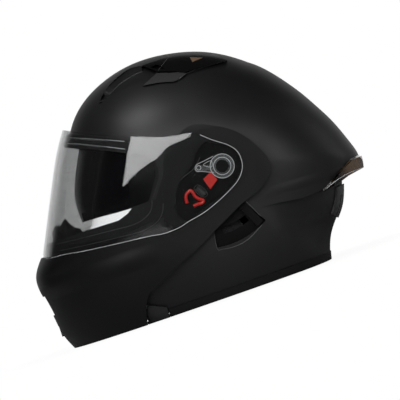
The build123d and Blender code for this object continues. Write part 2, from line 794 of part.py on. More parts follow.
def sun_visor_lever():
    """The thumb lever in the fan-shaped window, with its stem."""
    centre = (hinge_x, hinge_z)
    top = shell_half_width - fit_gap
    shape = bar(centre, lever_degrees, lever_radius, lever_length, lever_width, -1, top - lever_height, top)
    foot = polar(centre, lever_radius, lever_degrees)
    stem = rod(foot, stem_radius, -1, sun_half_width, top - lever_height)
    return biggest(shape + stem)


def chin_lip():
    """The rebate that the visor's lower edge drops into: a shelf under the edge and a lip behind it."""
    low = [(along_share, up_share - lip_share) for along_share, up_share in visor_low_shares[2:]]
    front = [(front_share, low[-1][1]), (front_share, chin_top_shares[0][1])]
    piece = zone(low + front + chin_top_shares[:-1])
    return skin(chin_form(), visor_form(-visor_wall - rebate_gap - lip_wall), piece)


def chin_bar():
    """The flip-up chin bar: a front shell with two arms that end in side pods."""
    shape = skin(chin_form(), chin_form(-chin_wall), chin_zone() & above(0)) + chin_lip()
    shape = shape - (visor_zone() - visor_form(-visor_wall - rebate_gap))
    for side in (-1, 1):
        arm_start = shell_half_width + arm_clear_gap
        shape = shape - rod((hinge_x, hinge_z), arm_clear_radius, side, 0, arm_start)
        shape = shape - smooth_zone(pocket_shares, side, pocket_floor, overrun)
        shape = shape - rod((hinge_x, hinge_z), hinge_pin_radius + bore_gap, side, 0, overrun)
    low = helmet_height * vent_window_low_share
    high = helmet_height * vent_window_high_share
    shape = shape - slab((-overrun * 2, -vent_window_half_width, low),
                         (helmet_length * chin_liner_shares[1][0], vent_window_half_width, high))
    shape = shape - slab((-overrun * 2, -button_half_width - fit_gap, button_low - fit_gap),
                         (helmet_length * chin_liner_shares[1][0], button_half_width + fit_gap,
                          button_low + button_height + fit_gap))
    return biggest(shape)


def chin_liner():
    """The foam inside the chin bar."""
    inner = chin_form(-chin_wall - liner_gap - chin_liner_wall)
    shape = skin(chin_form(-chin_wall - liner_gap), inner, zone(chin_liner_shares))
    low = helmet_height * vent_window_low_share
    high = helmet_height * vent_window_high_share
    back = helmet_length * vent_frame_face_share + vent_slider_wall + vent_frame_wall + fit_gap
    shape = shape - slab((-overrun * 2, -vent_window_half_width - fit_gap, low - fit_gap),
                         (back, vent_window_half_width + fit_gap, high + fit_gap))
    button_back = helmet_length * chin_shares[6][0] + button_depth + button_travel + fit_gap
    shape = shape - slab((-overrun * 2, -button_half_width - fit_gap, 0),
                         (button_back, button_half_width + fit_gap, button_low + button_height + fit_gap))
    for side in (-1, 1):
        start = lock_fork_start() - fit_gap
        shape = shape - zone(lock_arm_shares, side, start, overrun)
    return biggest(shape)


def chin_curtain():
    """The cloth sheet under the chin that keeps the wind out."""
    back = helmet_length * curtain_back_share
    piece = slab((-overrun * 2, -overrun, curtain_height), (back, overrun, curtain_height + curtain_wall))
    return biggest(skin(chin_form(-chin_wall - liner_gap), chin_form(-chin_wall - curtain_depth), piece))


def breath_guard():
    """The soft nose deflector behind the lower edge of the eye port."""
    piece = smooth_zone(breath_shares)
    piece = piece & slab((-overrun * 2, -breath_half_width, 0), (0, breath_half_width, overrun * 2))
    return biggest(skin(chin_form(-breath_inset), chin_form(-breath_inset - breath_wall), piece))


def lower_gasket():
    """The seal on the chin bar's top edge, under the eye port."""
    front = [(front_share, gasket_top_shares[0][1]), (front_share, chin_top_shares[0][1])]
    shape = zone(chin_top_shares + list(reversed(gasket_top_shares)) + front) - chin_zone()
    shape = shape & visor_form(-visor_wall - rebate_gap * 2)
    inner = chin_form(-chin_wall) & visor_form(-visor_wall - rebate_gap - lip_wall - lower_gasket_wall)
    return biggest(skin(chin_form(-skin_gap), inner, shape))


def chin_vent_frame():
    """The slotted plate in the chin bar's vent window."""
    face = helmet_length * vent_frame_face_share + vent_slider_wall
    low = helmet_height * vent_window_low_share
    high = helmet_height * vent_window_high_share
    shape = slab((face, -vent_window_half_width + skin_gap, low + skin_gap),
                 (face + vent_frame_wall, vent_window_half_width - skin_gap, high - skin_gap))
    middle = (low + high) / 2
    for offset in (-vent_slot_height, vent_slot_height):
        for side in (-1, 1):
            start = side * vent_slider_half_width if side > 0 else -vent_slot_half_width
            end = vent_slot_half_width if side > 0 else -vent_slider_half_width
            slot = slab((face - overrun, start + vent_rail_gap, middle + offset - vent_slot_half_height),
                        (face + overrun, end - vent_rail_gap, middle + offset + vent_slot_half_height))
            shape = shape - slot
    return biggest(shape)


def chin_vent_slider():
    """The small thumb slider on the chin vent."""
    face = helmet_length * vent_frame_face_share + vent_slider_wall
    top = helmet_height * vent_window_high_share - skin_gap - fit_gap
    shape = slab((face - vent_slider_wall - fit_gap, -vent_slider_half_width, top - vent_slider_height),
                 (face - fit_gap, vent_slider_half_width, top))
    return biggest(fillet(shape.edges().filter_by(Axis.X), vent_slider_round))


def chin_release_button():
    """The push button that lets the chin bar go."""
    face = helmet_length * chin_shares[6][0] - button_proud
    shape = slab((face, -button_half_width, button_low), (face + button_depth, button_half_width,
                                                         button_low + button_height))
    return biggest(fillet(shape.edges().filter_by(Axis.X), button_round))


def lock_fork(side):
    """The fork inside the chin bar's lower end that drops over the shell's lock pin."""
    pin = spot(lock_pin_share)
    along = (-(pin[1] - hinge_z), pin[0] - hinge_x)
    length = math.hypot(*along)
    along = (along[0] / length, along[1] / length)
    square = (-along[1], along[0])
    mouth = []
    mouth.append((-lock_slot_half_width, lock_slot_half_width))
    mouth.append((lock_mouth_length, lock_mouth_half_width))
    corners = [
        Vector(pin[0] + along[0] * mouth[0][0] - square[0] * mouth[0][1], 0,
               pin[1] + along[1] * mouth[0][0] - square[1] * mouth[0][1]),
        Vector(pin[0] + along[0] * mouth[1][0] - square[0] * mouth[1][1], 0,
               pin[1] + along[1] * mouth[1][0] - square[1] * mouth[1][1]),
        Vector(pin[0] + along[0] * mouth[1][0] + square[0] * mouth[1][1], 0,
               pin[1] + along[1] * mouth[1][0] + square[1] * mouth[1][1]),
        Vector(pin[0] + along[0] * mouth[0][0] + square[0] * mouth[0][1], 0,
               pin[1] + along[1] * mouth[0][0] + square[1] * mouth[0][1]),
    ]
    slot = across(Face(Wire(Polyline(*corners, close=True).edges())))
    start = lock_fork_start()
    shape = zone(lock_arm_shares, side, start, start + lock_fork_wall)
    shape = shape & chin_form(-chin_wall - skin_gap)
    return biggest(shape - slot)


def lock_fork_start():
    """How far out from the middle plane the lock forks stand."""
    return shell_half_width * lock_fork_place_share


def lock_pin(side):
    """The pin on the shell's inner wall that the fork holds."""
    start = lock_fork_start() - fit_gap
    shape = rod(spot(lock_pin_share), lock_pin_radius, side, start, overrun)
    return biggest(shape & body_form(-shell_wall - skin_gap))


def visor_base(side):
    """The plate in the pod's pocket that carries the visor, with two rails."""
    shape = smooth_zone(pocket_shares, side, pocket_floor, pocket_floor + base_wall, base_size_share,
                        (axis_x, axis_z))
    top = pocket_floor + base_wall
    for start_share, end_share in rail_shares:
        start = Vector(*spot(start_share))
        end = Vector(*spot(end_share))
        line = end - start
        degrees = math.degrees(math.atan2(line.Y, line.X))
        middle = (start + end) / 2
        shape = shape + bar((middle.X, middle.Y), degrees, 0, line.length, rail_width, side, top - skin_gap,
                            top + rail_height)
    return biggest(shape)


def visor_screws():
    """The screws that hold both base plates."""
    top = pocket_floor + base_wall
    heads = []
    for side in (-1, 1):
        for place in screw_shares:
            heads.append(rod(spot(place), screw_radius, side, top, top + screw_height).solid())
    return Compound(heads)


def visor_pivot(side):
    """The dark stud that the visor turns on."""
    top = pocket_floor + base_wall
    return rod((axis_x, axis_z), pivot_radius, side, top, visor_half_width + pivot_height).solid()


def visor_gear(side):
    """The clear ring and arm on the inside of the visor."""
    start = pocket_floor + base_wall + fit_gap
    centre = (axis_x, axis_z)
    shape = rod(centre, gear_radius, side, start, visor_inner)
    shape = shape + bar(centre, gear_arm_degrees, gear_arm_length / 2, gear_arm_length, gear_arm_width,
                        side, start, visor_inner)
    boss = polar(centre, gear_arm_length, gear_arm_degrees)
    shape = shape + rod(boss, gear_boss_radius, side, start, visor_inner)
    return biggest(shape - rod(centre, pivot_radius + bore_gap, side, 0, overrun))


def visor_slider(side):
    """The red block that slides to let the visor off."""
    start = pocket_floor + base_wall + skin_gap
    return biggest(zone(slider_shares, side, start, start + slider_height))


def visor_fork(side):
    """The red fork below the slider."""
    start = pocket_floor + base_wall
    shape = zone(fork_shares, side, start, start + fork_height)
    return biggest(shape - zone(fork_gap_shares, side, 0, overrun))


def visor():
    """The clear visor: one curved sheet with a round hole at each pivot."""
    shape = skin(visor_form(), visor_form(-visor_wall), visor_zone())
    for side in (-1, 1):
        shape = shape - rod((axis_x, axis_z), pivot_radius + bore_gap, side, 0, overrun)
    return biggest(shape)


def strap(side):
    """One half of the chin strap: down the shell's wall, then in under the chin."""
    corners = [(strap_drop_width + strap_wall, strap_top), (strap_drop_width, strap_top / 2),
               (strap_foot_width, strap_bottom), (strap_end_width, strap_bottom)]
    points = [Vector(strap_x, side * y, z) for y, z in corners]
    path = FilletPolyline(*points, radius=strap_bend)
    line = points[1] - points[0]
    plane = Plane(origin=points[0], x_dir=(1, 0, 0), z_dir=(line.X, line.Y, line.Z))
    return biggest(sweep(plane * Rectangle(strap_width, strap_wall), path=path))


def strap_rivets():
    """The two rivets that hold the strap ends to the shell."""
    heads = []
    for side in (-1, 1):
        height = strap_top - rivet_drop
        place = (strap_x, height)
        head = rod(place, rivet_radius, side, strap_drop_width + rivet_stand, overrun)
        heads.append(biggest(head & body_form(-shell_wall - skin_gap)))
    return Compound(heads)


def strap_pad(side):
    """The padded sleeve that lies on one strap under the jaw."""
    low = strap_bottom + strap_wall / 2 + fit_gap
    sections = []
    steps = zip(strap_pad_rise_shares, strap_pad_width_shares, strap_pad_end_gaps)
    for rise_share, width_share, end_gap in steps:
        z = low + strap_pad_wall * rise_share
        length = strap_pad_end - strap_pad_start - 2 * end_gap
        middle = side * (strap_pad_start + strap_pad_end) / 2
        plane = Plane(origin=(strap_x, middle, z))
        round_radius = strap_pad_width * strap_pad_round_share
        sections.append(plane * RectangleRounded(strap_pad_width * width_share, length, round_radius))
    return biggest(loft(sections))


def buckle_receiver():
    """The ratchet buckle's housing on the left strap."""
    shape = slab((strap_x - buckle_half_width, buckle_start, buckle_bottom),
                 (strap_x + buckle_half_width, buckle_end, buckle_bottom + buckle_height))
    shape = fillet(shape.edges().filter_by(Axis.Z), buckle_round)
    low = strap_bottom - tongue_wall / 2 - fit_gap
    high = strap_bottom + tongue_wall / 2 + tooth_height + fit_gap
    shape = shape - slab((strap_x - tongue_half_width - fit_gap, tongue_start - fit_gap, low),
                         (strap_x + tongue_half_width + fit_gap, overrun, high))
    return biggest(shape)


def buckle_tongue():
    """The toothed tongue on the right strap."""
    low = strap_bottom - tongue_wall / 2
    high = strap_bottom + tongue_wall / 2
    shape = slab((strap_x - tongue_half_width, tongue_start, low),
                 (strap_x + tongue_half_width, strap_end_width, high))
    for tooth in range(tooth_count):
        y = tongue_start + tooth_pitch * (tooth + 1)
        shape = shape + slab((strap_x - tongue_half_width + tooth_height, y, low),
                             (strap_x + tongue_half_width - tooth_height, y + tooth_pitch / 2,
                              high + tooth_height))
    return biggest(shape)


def buckle_lever():
    """The lever on top of the buckle that frees the tongue."""
    low = buckle_bottom + buckle_height + fit_gap
    shape = slab((strap_x - buckle_half_width + fit_gap, buckle_start + lever_pin_radius, low),
                 (strap_x + buckle_half_width - fit_gap, lever_plate_end, low + lever_plate_wall))
    shape = fillet(shape.edges().filter_by(Axis.Z), buckle_round)
    reach = buckle_half_width - fit_gap - buckle_round
    plane = Plane(origin=(strap_x - reach, buckle_start + lever_pin_radius, low + lever_plate_wall / 2),
                  z_dir=(1, 0, 0))
    return biggest(shape + extrude(plane * Circle(lever_plate_wall / 2), amount=2 * reach))


def write(name, shape):
    export_step(shape, "parts/" + name + ".step")
    print(name, "volume", round(shape.volume, 1), "valid", shape.is_valid)


def main():
    os.makedirs("parts", exist_ok=True)
    write("outer_shell", outer_shell())
    write("rim_trim", rim_trim())
    write("corner_clips", corner_clips())
    write("eps_liner", eps_liner())
    write("crown_pad", crown_pad())
    write("neck_roll", neck_roll())
    write("brow_gasket", brow_gasket())
    write("rear_spoiler", rear_spoiler())
    write("spoiler_trim", spoiler_trim())
    write("rear_vent", rear_vent())
    write("lever_tray", lever_tray())
    write("sun_visor", sun_visor())
    write("sun_visor_lever", sun_visor_lever())
    write("chin_bar", chin_bar())
    write("chin_liner", chin_liner())
    write("chin_curtain", chin_curtain())
    write("breath_guard", breath_guard())
    write("lower_gasket", lower_gasket())
    write("chin_vent_frame", chin_vent_frame())
    write("chin_vent_slider", chin_vent_slider())
    write("chin_release_button", chin_release_button())
    write("visor", visor())
    write("visor_screws", visor_screws())
    write("strap_rivets", strap_rivets())
    write("buckle_receiver", buckle_receiver())
    write("buckle_tongue", buckle_tongue())
    write("buckle_lever", buckle_lever())
    for side, word in ((-1, "left"), (1, "right")):
        write("cheek_pad_" + word, cheek_pad(side))
        write("side_gasket_" + word, side_gasket(side))
        write("top_vent_" + word, top_vent(side))
        write("top_vent_wing_" + word, top_vent_wing(side))
        write("chin_hinge_" + word, chin_hinge(side))
        write("sun_arm_" + word, sun_arm(side))
        write("lock_fork_" + word, lock_fork(side))
        write("lock_pin_" + word, lock_pin(side))
        write("visor_base_" + word, visor_base(side))
        write("visor_pivot_" + word, visor_pivot(side))
        write("visor_gear_" + word, visor_gear(side))
        write("visor_slider_" + word, visor_slider(side))
        write("visor_fork_" + word, visor_fork(side))
        write("strap_" + word, strap(side))
        write("strap_pad_" + word, strap_pad(side))


main()
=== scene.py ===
# %% [markdown]
# # A modular motorcycle helmet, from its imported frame
#
# The helmet stands on its rim and faces -X, with the wearer's left side
# toward -Y. Its hard parts come with the frame: shell, chin bar, visor,
# hinges and locks. This file gives each of them a finish, and makes the
# soft parts anew: the lining, the cheek pads, the neck roll, the straps
# and the chin curtain.

# %% Load the frame
import json
import math
import bmesh
import bpy
import numpy as np
from mathutils import Matrix, Quaternion, Vector


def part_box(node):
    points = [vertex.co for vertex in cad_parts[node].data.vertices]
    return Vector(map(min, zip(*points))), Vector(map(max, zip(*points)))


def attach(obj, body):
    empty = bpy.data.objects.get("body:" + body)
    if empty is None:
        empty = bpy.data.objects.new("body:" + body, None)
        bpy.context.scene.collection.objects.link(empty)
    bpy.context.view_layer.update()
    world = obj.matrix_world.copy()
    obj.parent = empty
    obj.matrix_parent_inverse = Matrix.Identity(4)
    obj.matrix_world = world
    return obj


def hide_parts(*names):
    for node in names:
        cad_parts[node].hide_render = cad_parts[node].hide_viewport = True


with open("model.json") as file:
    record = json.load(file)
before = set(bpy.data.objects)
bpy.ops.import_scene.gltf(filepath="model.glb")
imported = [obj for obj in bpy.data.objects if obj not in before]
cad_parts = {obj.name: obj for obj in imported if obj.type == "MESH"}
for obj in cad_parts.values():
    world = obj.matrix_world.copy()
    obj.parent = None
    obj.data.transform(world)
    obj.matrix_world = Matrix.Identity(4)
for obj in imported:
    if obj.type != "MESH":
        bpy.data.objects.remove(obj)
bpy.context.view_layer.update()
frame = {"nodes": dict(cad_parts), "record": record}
nodes = frame["nodes"]

# %% [markdown]
# ## Camera
#
# The photograph is a side view taken from far away, so the helmet shows
# almost no perspective, and the camera is rolled: the helmet's rim climbs
# to the right. A long lens at four metres gives the same flat view.

# %% Camera
roll = math.radians(19.18)
view_width = 0.408
view_distance = 4.0
sensor_width = 36.0
aim = Vector((0.00705, 0.0, 0.1004))

camera_data = bpy.data.cameras.new("side_camera")
camera_data.sensor_width = sensor_width
camera_data.lens = sensor_width * view_distance / view_width
camera_data.clip_end = 30.0
camera = bpy.data.objects.new("side_camera", camera_data)
bpy.context.scene.collection.objects.link(camera)
right = Vector((math.cos(roll), 0.0, -math.sin(roll)))
up = Vector((math.sin(roll), 0.0, math.cos(roll)))
back = Vector((0.0, -1.0, 0.0))
place = aim + back * view_distance
camera.matrix_world = Matrix((
    (right.x, up.x, back.x, place.x),
    (right.y, up.y, back.y, place.y),
    (right.z, up.z, back.z, place.z),
    (0.0, 0.0, 0.0, 1.0),
))
bpy.context.scene.camera = camera
bpy.context.scene.view_settings.view_transform = "Standard"
print("lens", round(camera_data.lens), "mm")

# %% [markdown]
# ## Studio
#
# The product stands in front of white, lit by soft boxes. One above gives
# the grey sheen on the crown, the largest, at the front left, is what the
# visor mirrors, one at the rear left lights the side, and a dim one behind
# draws the thin light line along the back of the shell. Area lamps are
# used because a small lamp would show as a hard dot in the visor.

# %% Soft boxes
def soft_box(name, position, target, width, height, power, turn=0.0):
    """A rectangular lamp at position whose -Z axis points at target, turned about that axis by turn
    degrees."""
    lamp = bpy.data.lights.new(name, "AREA")
    lamp.shape = "RECTANGLE"
    lamp.size = width
    lamp.size_y = height
    lamp.energy = power
    box = bpy.data.objects.new(name, lamp)
    box.location = position
    direction = Vector(target) - Vector(position)
    pointed = direction.to_track_quat("-Z", "Y") @ Quaternion((0.0, 0.0, 1.0), math.radians(turn))
    box.rotation_euler = pointed.to_euler()
    bpy.context.scene.collection.objects.link(box)
    return box


soft_box("crown_box", (-0.56, -0.86, 1.95), (-0.02, -0.10, 0.20), width=0.8, height=0.5, power=16.0)
soft_box("visor_box", (-0.60, -1.76, 1.04), (-0.01, -0.10, 0.22), width=1.80, height=0.78,
         power=23.0, turn=-17.0)
soft_box("side_box", (1.35, -1.75, 0.55), (0.12, -0.12, 0.16), width=1.3, height=0.8, power=11.0)
soft_box("rear_box", (2.1, 0.9, 0.5), aim, width=0.3, height=1.2, power=2.8)
print("four soft boxes")

# %% [markdown]
# ## Shader maths
#
# A finish is a tree of nodes. Writing `1 - mask * 0.3` is easier to read
# than placing Math nodes, so one small class wraps a socket and adds the
# node that each operator stands for. Every other node comes from one
# method of the finish itself.

# %% Signals and finishes
class Signal:
    """A socket that gives a value; arithmetic with it adds Math nodes."""

    def __init__(self, tree, socket):
        self.tree = tree
        self.socket = socket

    def maths(self, operation, first, second=0.0):
        node = self.tree.nodes.new("ShaderNodeMath")
        node.operation = operation
        for slot, value in zip(node.inputs, (first, second)):
            if isinstance(value, Signal):
                self.tree.links.new(value.socket, slot)
            else:
                slot.default_value = value
        return Signal(self.tree, node.outputs[0])

    def __add__(self, other):
        return self.maths("ADD", self, other)

    __radd__ = __add__

    def __mul__(self, other):
        return self.maths("MULTIPLY", self, other)

    __rmul__ = __mul__

    def __sub__(self, other):
        return self.maths("SUBTRACT", self, other)

    def __rsub__(self, other):
        return self.maths("SUBTRACT", other, self)

    def __abs__(self):
        return self.maths("ABSOLUTE", self)

    def least(self, other):
        return self.maths("MINIMUM", self, other)

    def most(self, other):
        return self.maths("MAXIMUM", self, other)

    def output(self, name):
        """Another output of the same node."""
        return Signal(self.tree, self.socket.node.outputs[name])


class Finish:
    """A named material and the nodes that make it."""

    def __init__(self, name):
        self.material = bpy.data.materials.new(name)
        self.material.use_nodes = True
        self.tree = self.material.node_tree
        self.tree.nodes.clear()
        self.place = self.node("ShaderNodeTexCoord").output("Object")

    def node(self, kind, settings=(), values=()):
        """A new node: its own settings first, then a value or a link for each socket."""
        node = self.tree.nodes.new(kind)
        for name, value in dict(settings).items():
            if name == "stops":
                for stop, (position, colour) in zip(node.color_ramp.elements, value):
                    stop.position = position
                    stop.color = colour
            else:
                setattr(node, name, value)
        for name, value in dict(values).items():
            if isinstance(value, Signal):
                self.tree.links.new(value.socket, node.inputs[name])
            else:
                node.inputs[name].default_value = value
        return Signal(self.tree, node.outputs[0]) if node.outputs else node

    def noise(self, scale, detail=2.0):
        """Smooth noise from 0 to 1 whose grains are 1 / scale metres wide."""
        values = {"Vector": self.place, "Scale": scale, "Detail": detail}
        return self.node("ShaderNodeTexNoise", values=values)

    def tint(self, mask, low, high):
        """A colour that goes from low to high as mask goes from 0 to 1."""
        colours = {"A": (*low, 1.0), "B": (*high, 1.0)}
        mix = self.tree.nodes.new("ShaderNodeMix")
        mix.data_type = "RGBA"
        self.tree.links.new(mask.socket, mix.inputs["Factor"])
        for socket in mix.inputs:
            if socket.type == "RGBA":
                socket.default_value = colours[socket.name]
        return Signal(self.tree, next(s for s in mix.outputs if s.type == "RGBA"))

    def bumps(self, height, distance):
        """A normal tilted by a height from 0 to 1 that stands for distance metres."""
        values = {"Height": height, "Distance": distance, "Strength": 1.0}
        return self.node("ShaderNodeBump", values=values)

    def surface(self, **values):
        """The Principled shader with these sockets set, an underscore standing for a space."""
        sockets = {name.replace("_", " "): value for name, value in values.items()}
        for name, value in sockets.items():
            if isinstance(value, tuple) and len(value) == 3:
                sockets[name] = (*value, 1.0)
        return self.node("ShaderNodeBsdfPrincipled", {}, sockets)

    def close(self, shader):
        """Sends the shader to the material's output and gives the material back."""
        self.node("ShaderNodeOutputMaterial", values={"Surface": shader})
        return self.material


# %% [markdown]
# ## Floor and white background
#
# The white comes from how the camera sees the floor and the world, not
# from more light. Near the helmet the floor mixes its own grey with white,
# so a soft shadow stays, and further out it is white all over. A mirror
# sees the white backdrop too, but only behind the helmet: the camera's
# half of the studio is dark.

# %% Floor
white_colour = (1.0, 1.0, 1.0, 1.0)


def floor_finish(shadow_radius=0.25, shadow_share=0.10):
    """Pale and diffuse, and white to the camera. Within shadow_radius a share of the shadow shows."""
    finish = Finish("pale_floor")
    to_middle = finish.node("ShaderNodeVectorMath", {"operation": "LENGTH"}, {0: finish.place})
    far = (to_middle.output("Value") * (1.0 / shadow_radius)).least(1.0)
    seen = finish.node("ShaderNodeLightPath").output("Is Camera Ray")
    matte = finish.surface(Base_Color=(0.35, 0.35, 0.35), Roughness=0.9, Specular_IOR_Level=0.1)
    white = finish.node("ShaderNodeEmission", values={"Color": white_colour, "Strength": 1.0})
    share = seen * (far * shadow_share + (1.0 - shadow_share))
    mixed = finish.node("ShaderNodeMixShader", values={0: share, 1: matte, 2: white})
    return finish.close(mixed)


def world_finish(ambient=0.06, mirrored=0.015, backdrop=0.70, backdrop_from=0.74, fade=0.2):
    """White to the camera and through glass. A mirror sees the backdrop where its ray's Y is above
    backdrop_from, with a soft edge, and all else gets dim even light."""
    world = bpy.data.worlds.new("studio_world")
    world.use_nodes = True
    tree = world.node_tree
    tree.nodes.clear()
    path = tree.nodes.new("ShaderNodeLightPath")
    seen = Signal(tree, path.outputs["Is Camera Ray"])
    clear = Signal(tree, path.outputs["Is Transmission Ray"])
    shine = Signal(tree, path.outputs["Is Glossy Ray"])
    background = tree.nodes.new("ShaderNodeBackground")
    toward = tree.nodes.new("ShaderNodeTexCoord")
    parts = tree.nodes.new("ShaderNodeSeparateXYZ")
    tree.links.new(toward.outputs["Generated"], parts.inputs[0])
    along_y = Signal(tree, parts.outputs["Y"])
    behind = ((along_y - backdrop_from) * (1.0 / fade)).most(0.0).least(1.0)
    mirror = behind * (backdrop - mirrored) + mirrored
    strength = seen.most(clear) * (1.0 - ambient) + shine * (mirror - ambient) + ambient
    tree.links.new(strength.socket, background.inputs["Strength"])
    background.inputs["Color"].default_value = white_colour
    output = tree.nodes.new("ShaderNodeOutputWorld")
    tree.links.new(background.outputs[0], output.inputs["Surface"])
    return world


def floor_mesh(half_size=3.0):
    """A flat square of half_size each way, level with the rim."""
    side = np.array([-half_size, half_size])
    x, y = np.meshgrid(side, side, indexing="ij")
    return np.stack([x, y, np.zeros_like(x)], axis=-1)


# %% [markdown]
# ### From points to meshes
#
# Each new piece is worked out as a grid of points, rows by columns, and
# one function joins the neighbours into faces. That is shorter and more
# exact than editing a cube by hand, and a closed form only has to wrap
# its rows or columns round.

# %% Grids of points become meshes
def grid_piece(name, points, wrap_rows=False, wrap_columns=False, smooth=True):
    """A mesh object from rows and columns of points, each four neighbours joined by a face."""
    rows, columns = points.shape[:2]
    index = np.arange(rows * columns).reshape(rows, columns)
    if wrap_rows:
        index = np.vstack([index, index[:1]])
    if wrap_columns:
        index = np.hstack([index, index[:, :1]])
    corners = (index[:-1, :-1], index[1:, :-1], index[1:, 1:], index[:-1, 1:])
    faces = np.stack(corners, axis=-1).reshape(-1, 4)
    mesh = bpy.data.meshes.new(name)
    mesh.from_pydata(points.reshape(-1, 3).tolist(), [], faces.tolist())
    mesh.polygons.foreach_set("use_smooth", [smooth] * len(mesh.polygons))
    piece = bpy.data.objects.new(name, mesh)
    bpy.context.scene.collection.objects.link(piece)
    return piece


floor = grid_piece("floor", floor_mesh())
floor.data.materials.append(floor_finish())
bpy.context.scene.world = world_finish()
print("floor and world set")

# %% [markdown]
# ## Hard finishes
#
# Most of the helmet is one soft matte black. Under a lens that paint is
# never flat: it has a fine grain that scatters the light, and the sheen
# drifts a little over the surface. The vents and clips are other blacks,
# and differ from the paint in gloss and grain, which is how the eye
# tells them apart. Some tones are painted light: the chin bar's darker
# copy of the paint and the near black deep in the pockets are painted
# shade, the vent fins' lighter grey is painted light, and the pale and
# grey bars along edges are painted highlights.

# %% Matte, gloss and rubber
patch_scale = 14.0


def plastic(name, dark, light, roughness, grain, depth, **uniform):
    """Moulded or painted plastic: a grain of 1 / grain metres raised by depth metres. Its roughness
    drifts by 0.10 in patches and by 0.06 with the grain."""
    finish = Finish(name)
    cloud = finish.noise(patch_scale, 3.0)
    speck = finish.noise(grain, 3.0)
    colour = finish.tint(cloud, dark, light)
    gloss = cloud * 0.10 + speck * 0.06 + (roughness - 0.08)
    shader = finish.surface(Base_Color=colour, Roughness=gloss,
                            Normal=finish.bumps(speck, depth), **uniform)
    return finish.close(shader)


def creased(name, dark, light, roughness, grain, height_at, relief, **uniform):
    """Painted plastic with a soft moulded line: height_at gives a height from 0 to 1, which stands
    for relief metres. The grain is a hundredth of it, and roughness drifts by 0.16 in patches."""
    finish = Finish(name)
    cloud = finish.noise(patch_scale, 3.0)
    speck = finish.noise(grain, 3.0)
    parts = finish.node("ShaderNodeSeparateXYZ", values={"Vector": finish.place})
    height = height_at(parts.output("X"), parts.output("Z"))
    shader = finish.surface(
        Base_Color=finish.tint(cloud, dark, light), Roughness=cloud * 0.16 + (roughness - 0.08),
        Normal=finish.bumps(height + speck * 0.01, relief), **uniform)
    return finish.close(shader)


def ridge(distance, width):
    """1 on a line and 0 beyond its width, with round shoulders: (1 - (d / w)^2)^2."""
    near = (abs(distance) * (1.0 / width)).least(1.0)
    shoulder = 1.0 - near * near
    return shoulder * shoulder


crease_level, crease_width, crease_end, crease_fade = 0.0655, 0.012, -0.045, 30.0
folds_start, folds_fade = 0.062, 20.0
fold_upper = {"level": 0.089, "fall": 0.05, "width": 0.006}
fold_lower = {"level": 0.055, "fall": 0.10, "width": 0.007}


def chin_height(x, z):
    """The level crease along the front of the chin bar, which fades out toward the side pod."""
    ahead = ((crease_end - x) * crease_fade).most(0.0).least(1.0)
    return ridge(z - crease_level, crease_width) * ahead


def shell_height(x, z):
    """Two faint folds behind the side pod, running back and a little down."""
    behind = ((x - folds_start) * folds_fade).most(0.0).least(1.0)
    upper, lower = (ridge(z - fold["level"] + x * fold["fall"], fold["width"])
                    for fold in (fold_upper, fold_lower))
    return upper.most(lower) * behind


shell_black = creased("shell_black", (0.006, 0.006, 0.007), (0.009, 0.009, 0.0095), roughness=0.46,
                      grain=1500.0, height_at=shell_height, relief=0.0005, Specular_IOR_Level=0.34)
# The chin bar is the shell's paint at half its brightness: painted shade.
chin_shaded_black = creased("chin_shaded_black", (0.003, 0.003, 0.0034), (0.0045, 0.0045, 0.005), roughness=0.46,
                     grain=1500.0, height_at=chin_height, relief=0.0016, Specular_IOR_Level=0.22)
gloss_black = plastic("vent_gloss", (0.002, 0.002, 0.002), (0.004, 0.004, 0.004), roughness=0.16,
                      grain=300.0, depth=0.00001, Coat_Weight=0.3, Coat_Roughness=0.06)
dark_plastic = plastic("dark_plastic", (0.010, 0.010, 0.011), (0.017, 0.017, 0.018), roughness=0.38,
                       grain=2200.0, depth=0.00005)
# Near black for the parts deep in a pocket and in the lever's tray: painted shade.
pocket_shade_black = plastic("pocket_shade_black", (0.0012, 0.0012, 0.0012), (0.0025, 0.0025, 0.0025), roughness=0.40,
                    grain=2200.0, depth=0.00005, Specular_IOR_Level=0.12)
# The vent fins are a lighter grey than the vent: painted light for the light that falls on their
# tops.
fin_grey_painted_light = plastic("fin_grey_painted_light", (0.020, 0.020, 0.021), (0.030, 0.030, 0.031), roughness=0.40,
                   grain=1500.0, depth=0.00004)
# Pale, for thin bars that stand for lines of light on edges: painted highlights.
edge_highlight_pale = plastic("edge_highlight_pale", (0.50, 0.51, 0.52), (0.62, 0.63, 0.64), roughness=0.22,
                    grain=400.0, depth=0.00001)
# Grey, for thin bars that stand for lines of light along rails, rims, lips and folds: painted
# highlights.
line_highlight_grey = plastic("line_highlight_grey", (0.040, 0.040, 0.042), (0.052, 0.052, 0.054), roughness=0.42,
                     grain=1800.0, depth=0.00004)
bronze = plastic("bronze", (0.11, 0.070, 0.045), (0.16, 0.10, 0.065), roughness=0.35,
                 grain=1200.0, depth=0.00003)
rubber = plastic("trim_rubber", (0.004, 0.004, 0.004), (0.008, 0.008, 0.008), roughness=0.66,
                 grain=900.0, depth=0.00008, Specular_IOR_Level=0.25)
red_plastic = plastic("red_plastic", (0.52, 0.012, 0.008), (0.68, 0.020, 0.012), roughness=0.30,
                      grain=1800.0, depth=0.00003, Coat_Weight=0.3, Coat_Roughness=0.15)
print("eleven moulded finishes")


# %% [markdown]
# ### Metal and foam
#
# The spoiler's trim is chromed, the rivets, hinges and locks are steel,
# and the impact liner is foam made of small beads. Brush lines are noise
# stretched one way, and beads are the cells of a Voronoi pattern, so
# neither needs a picture file.

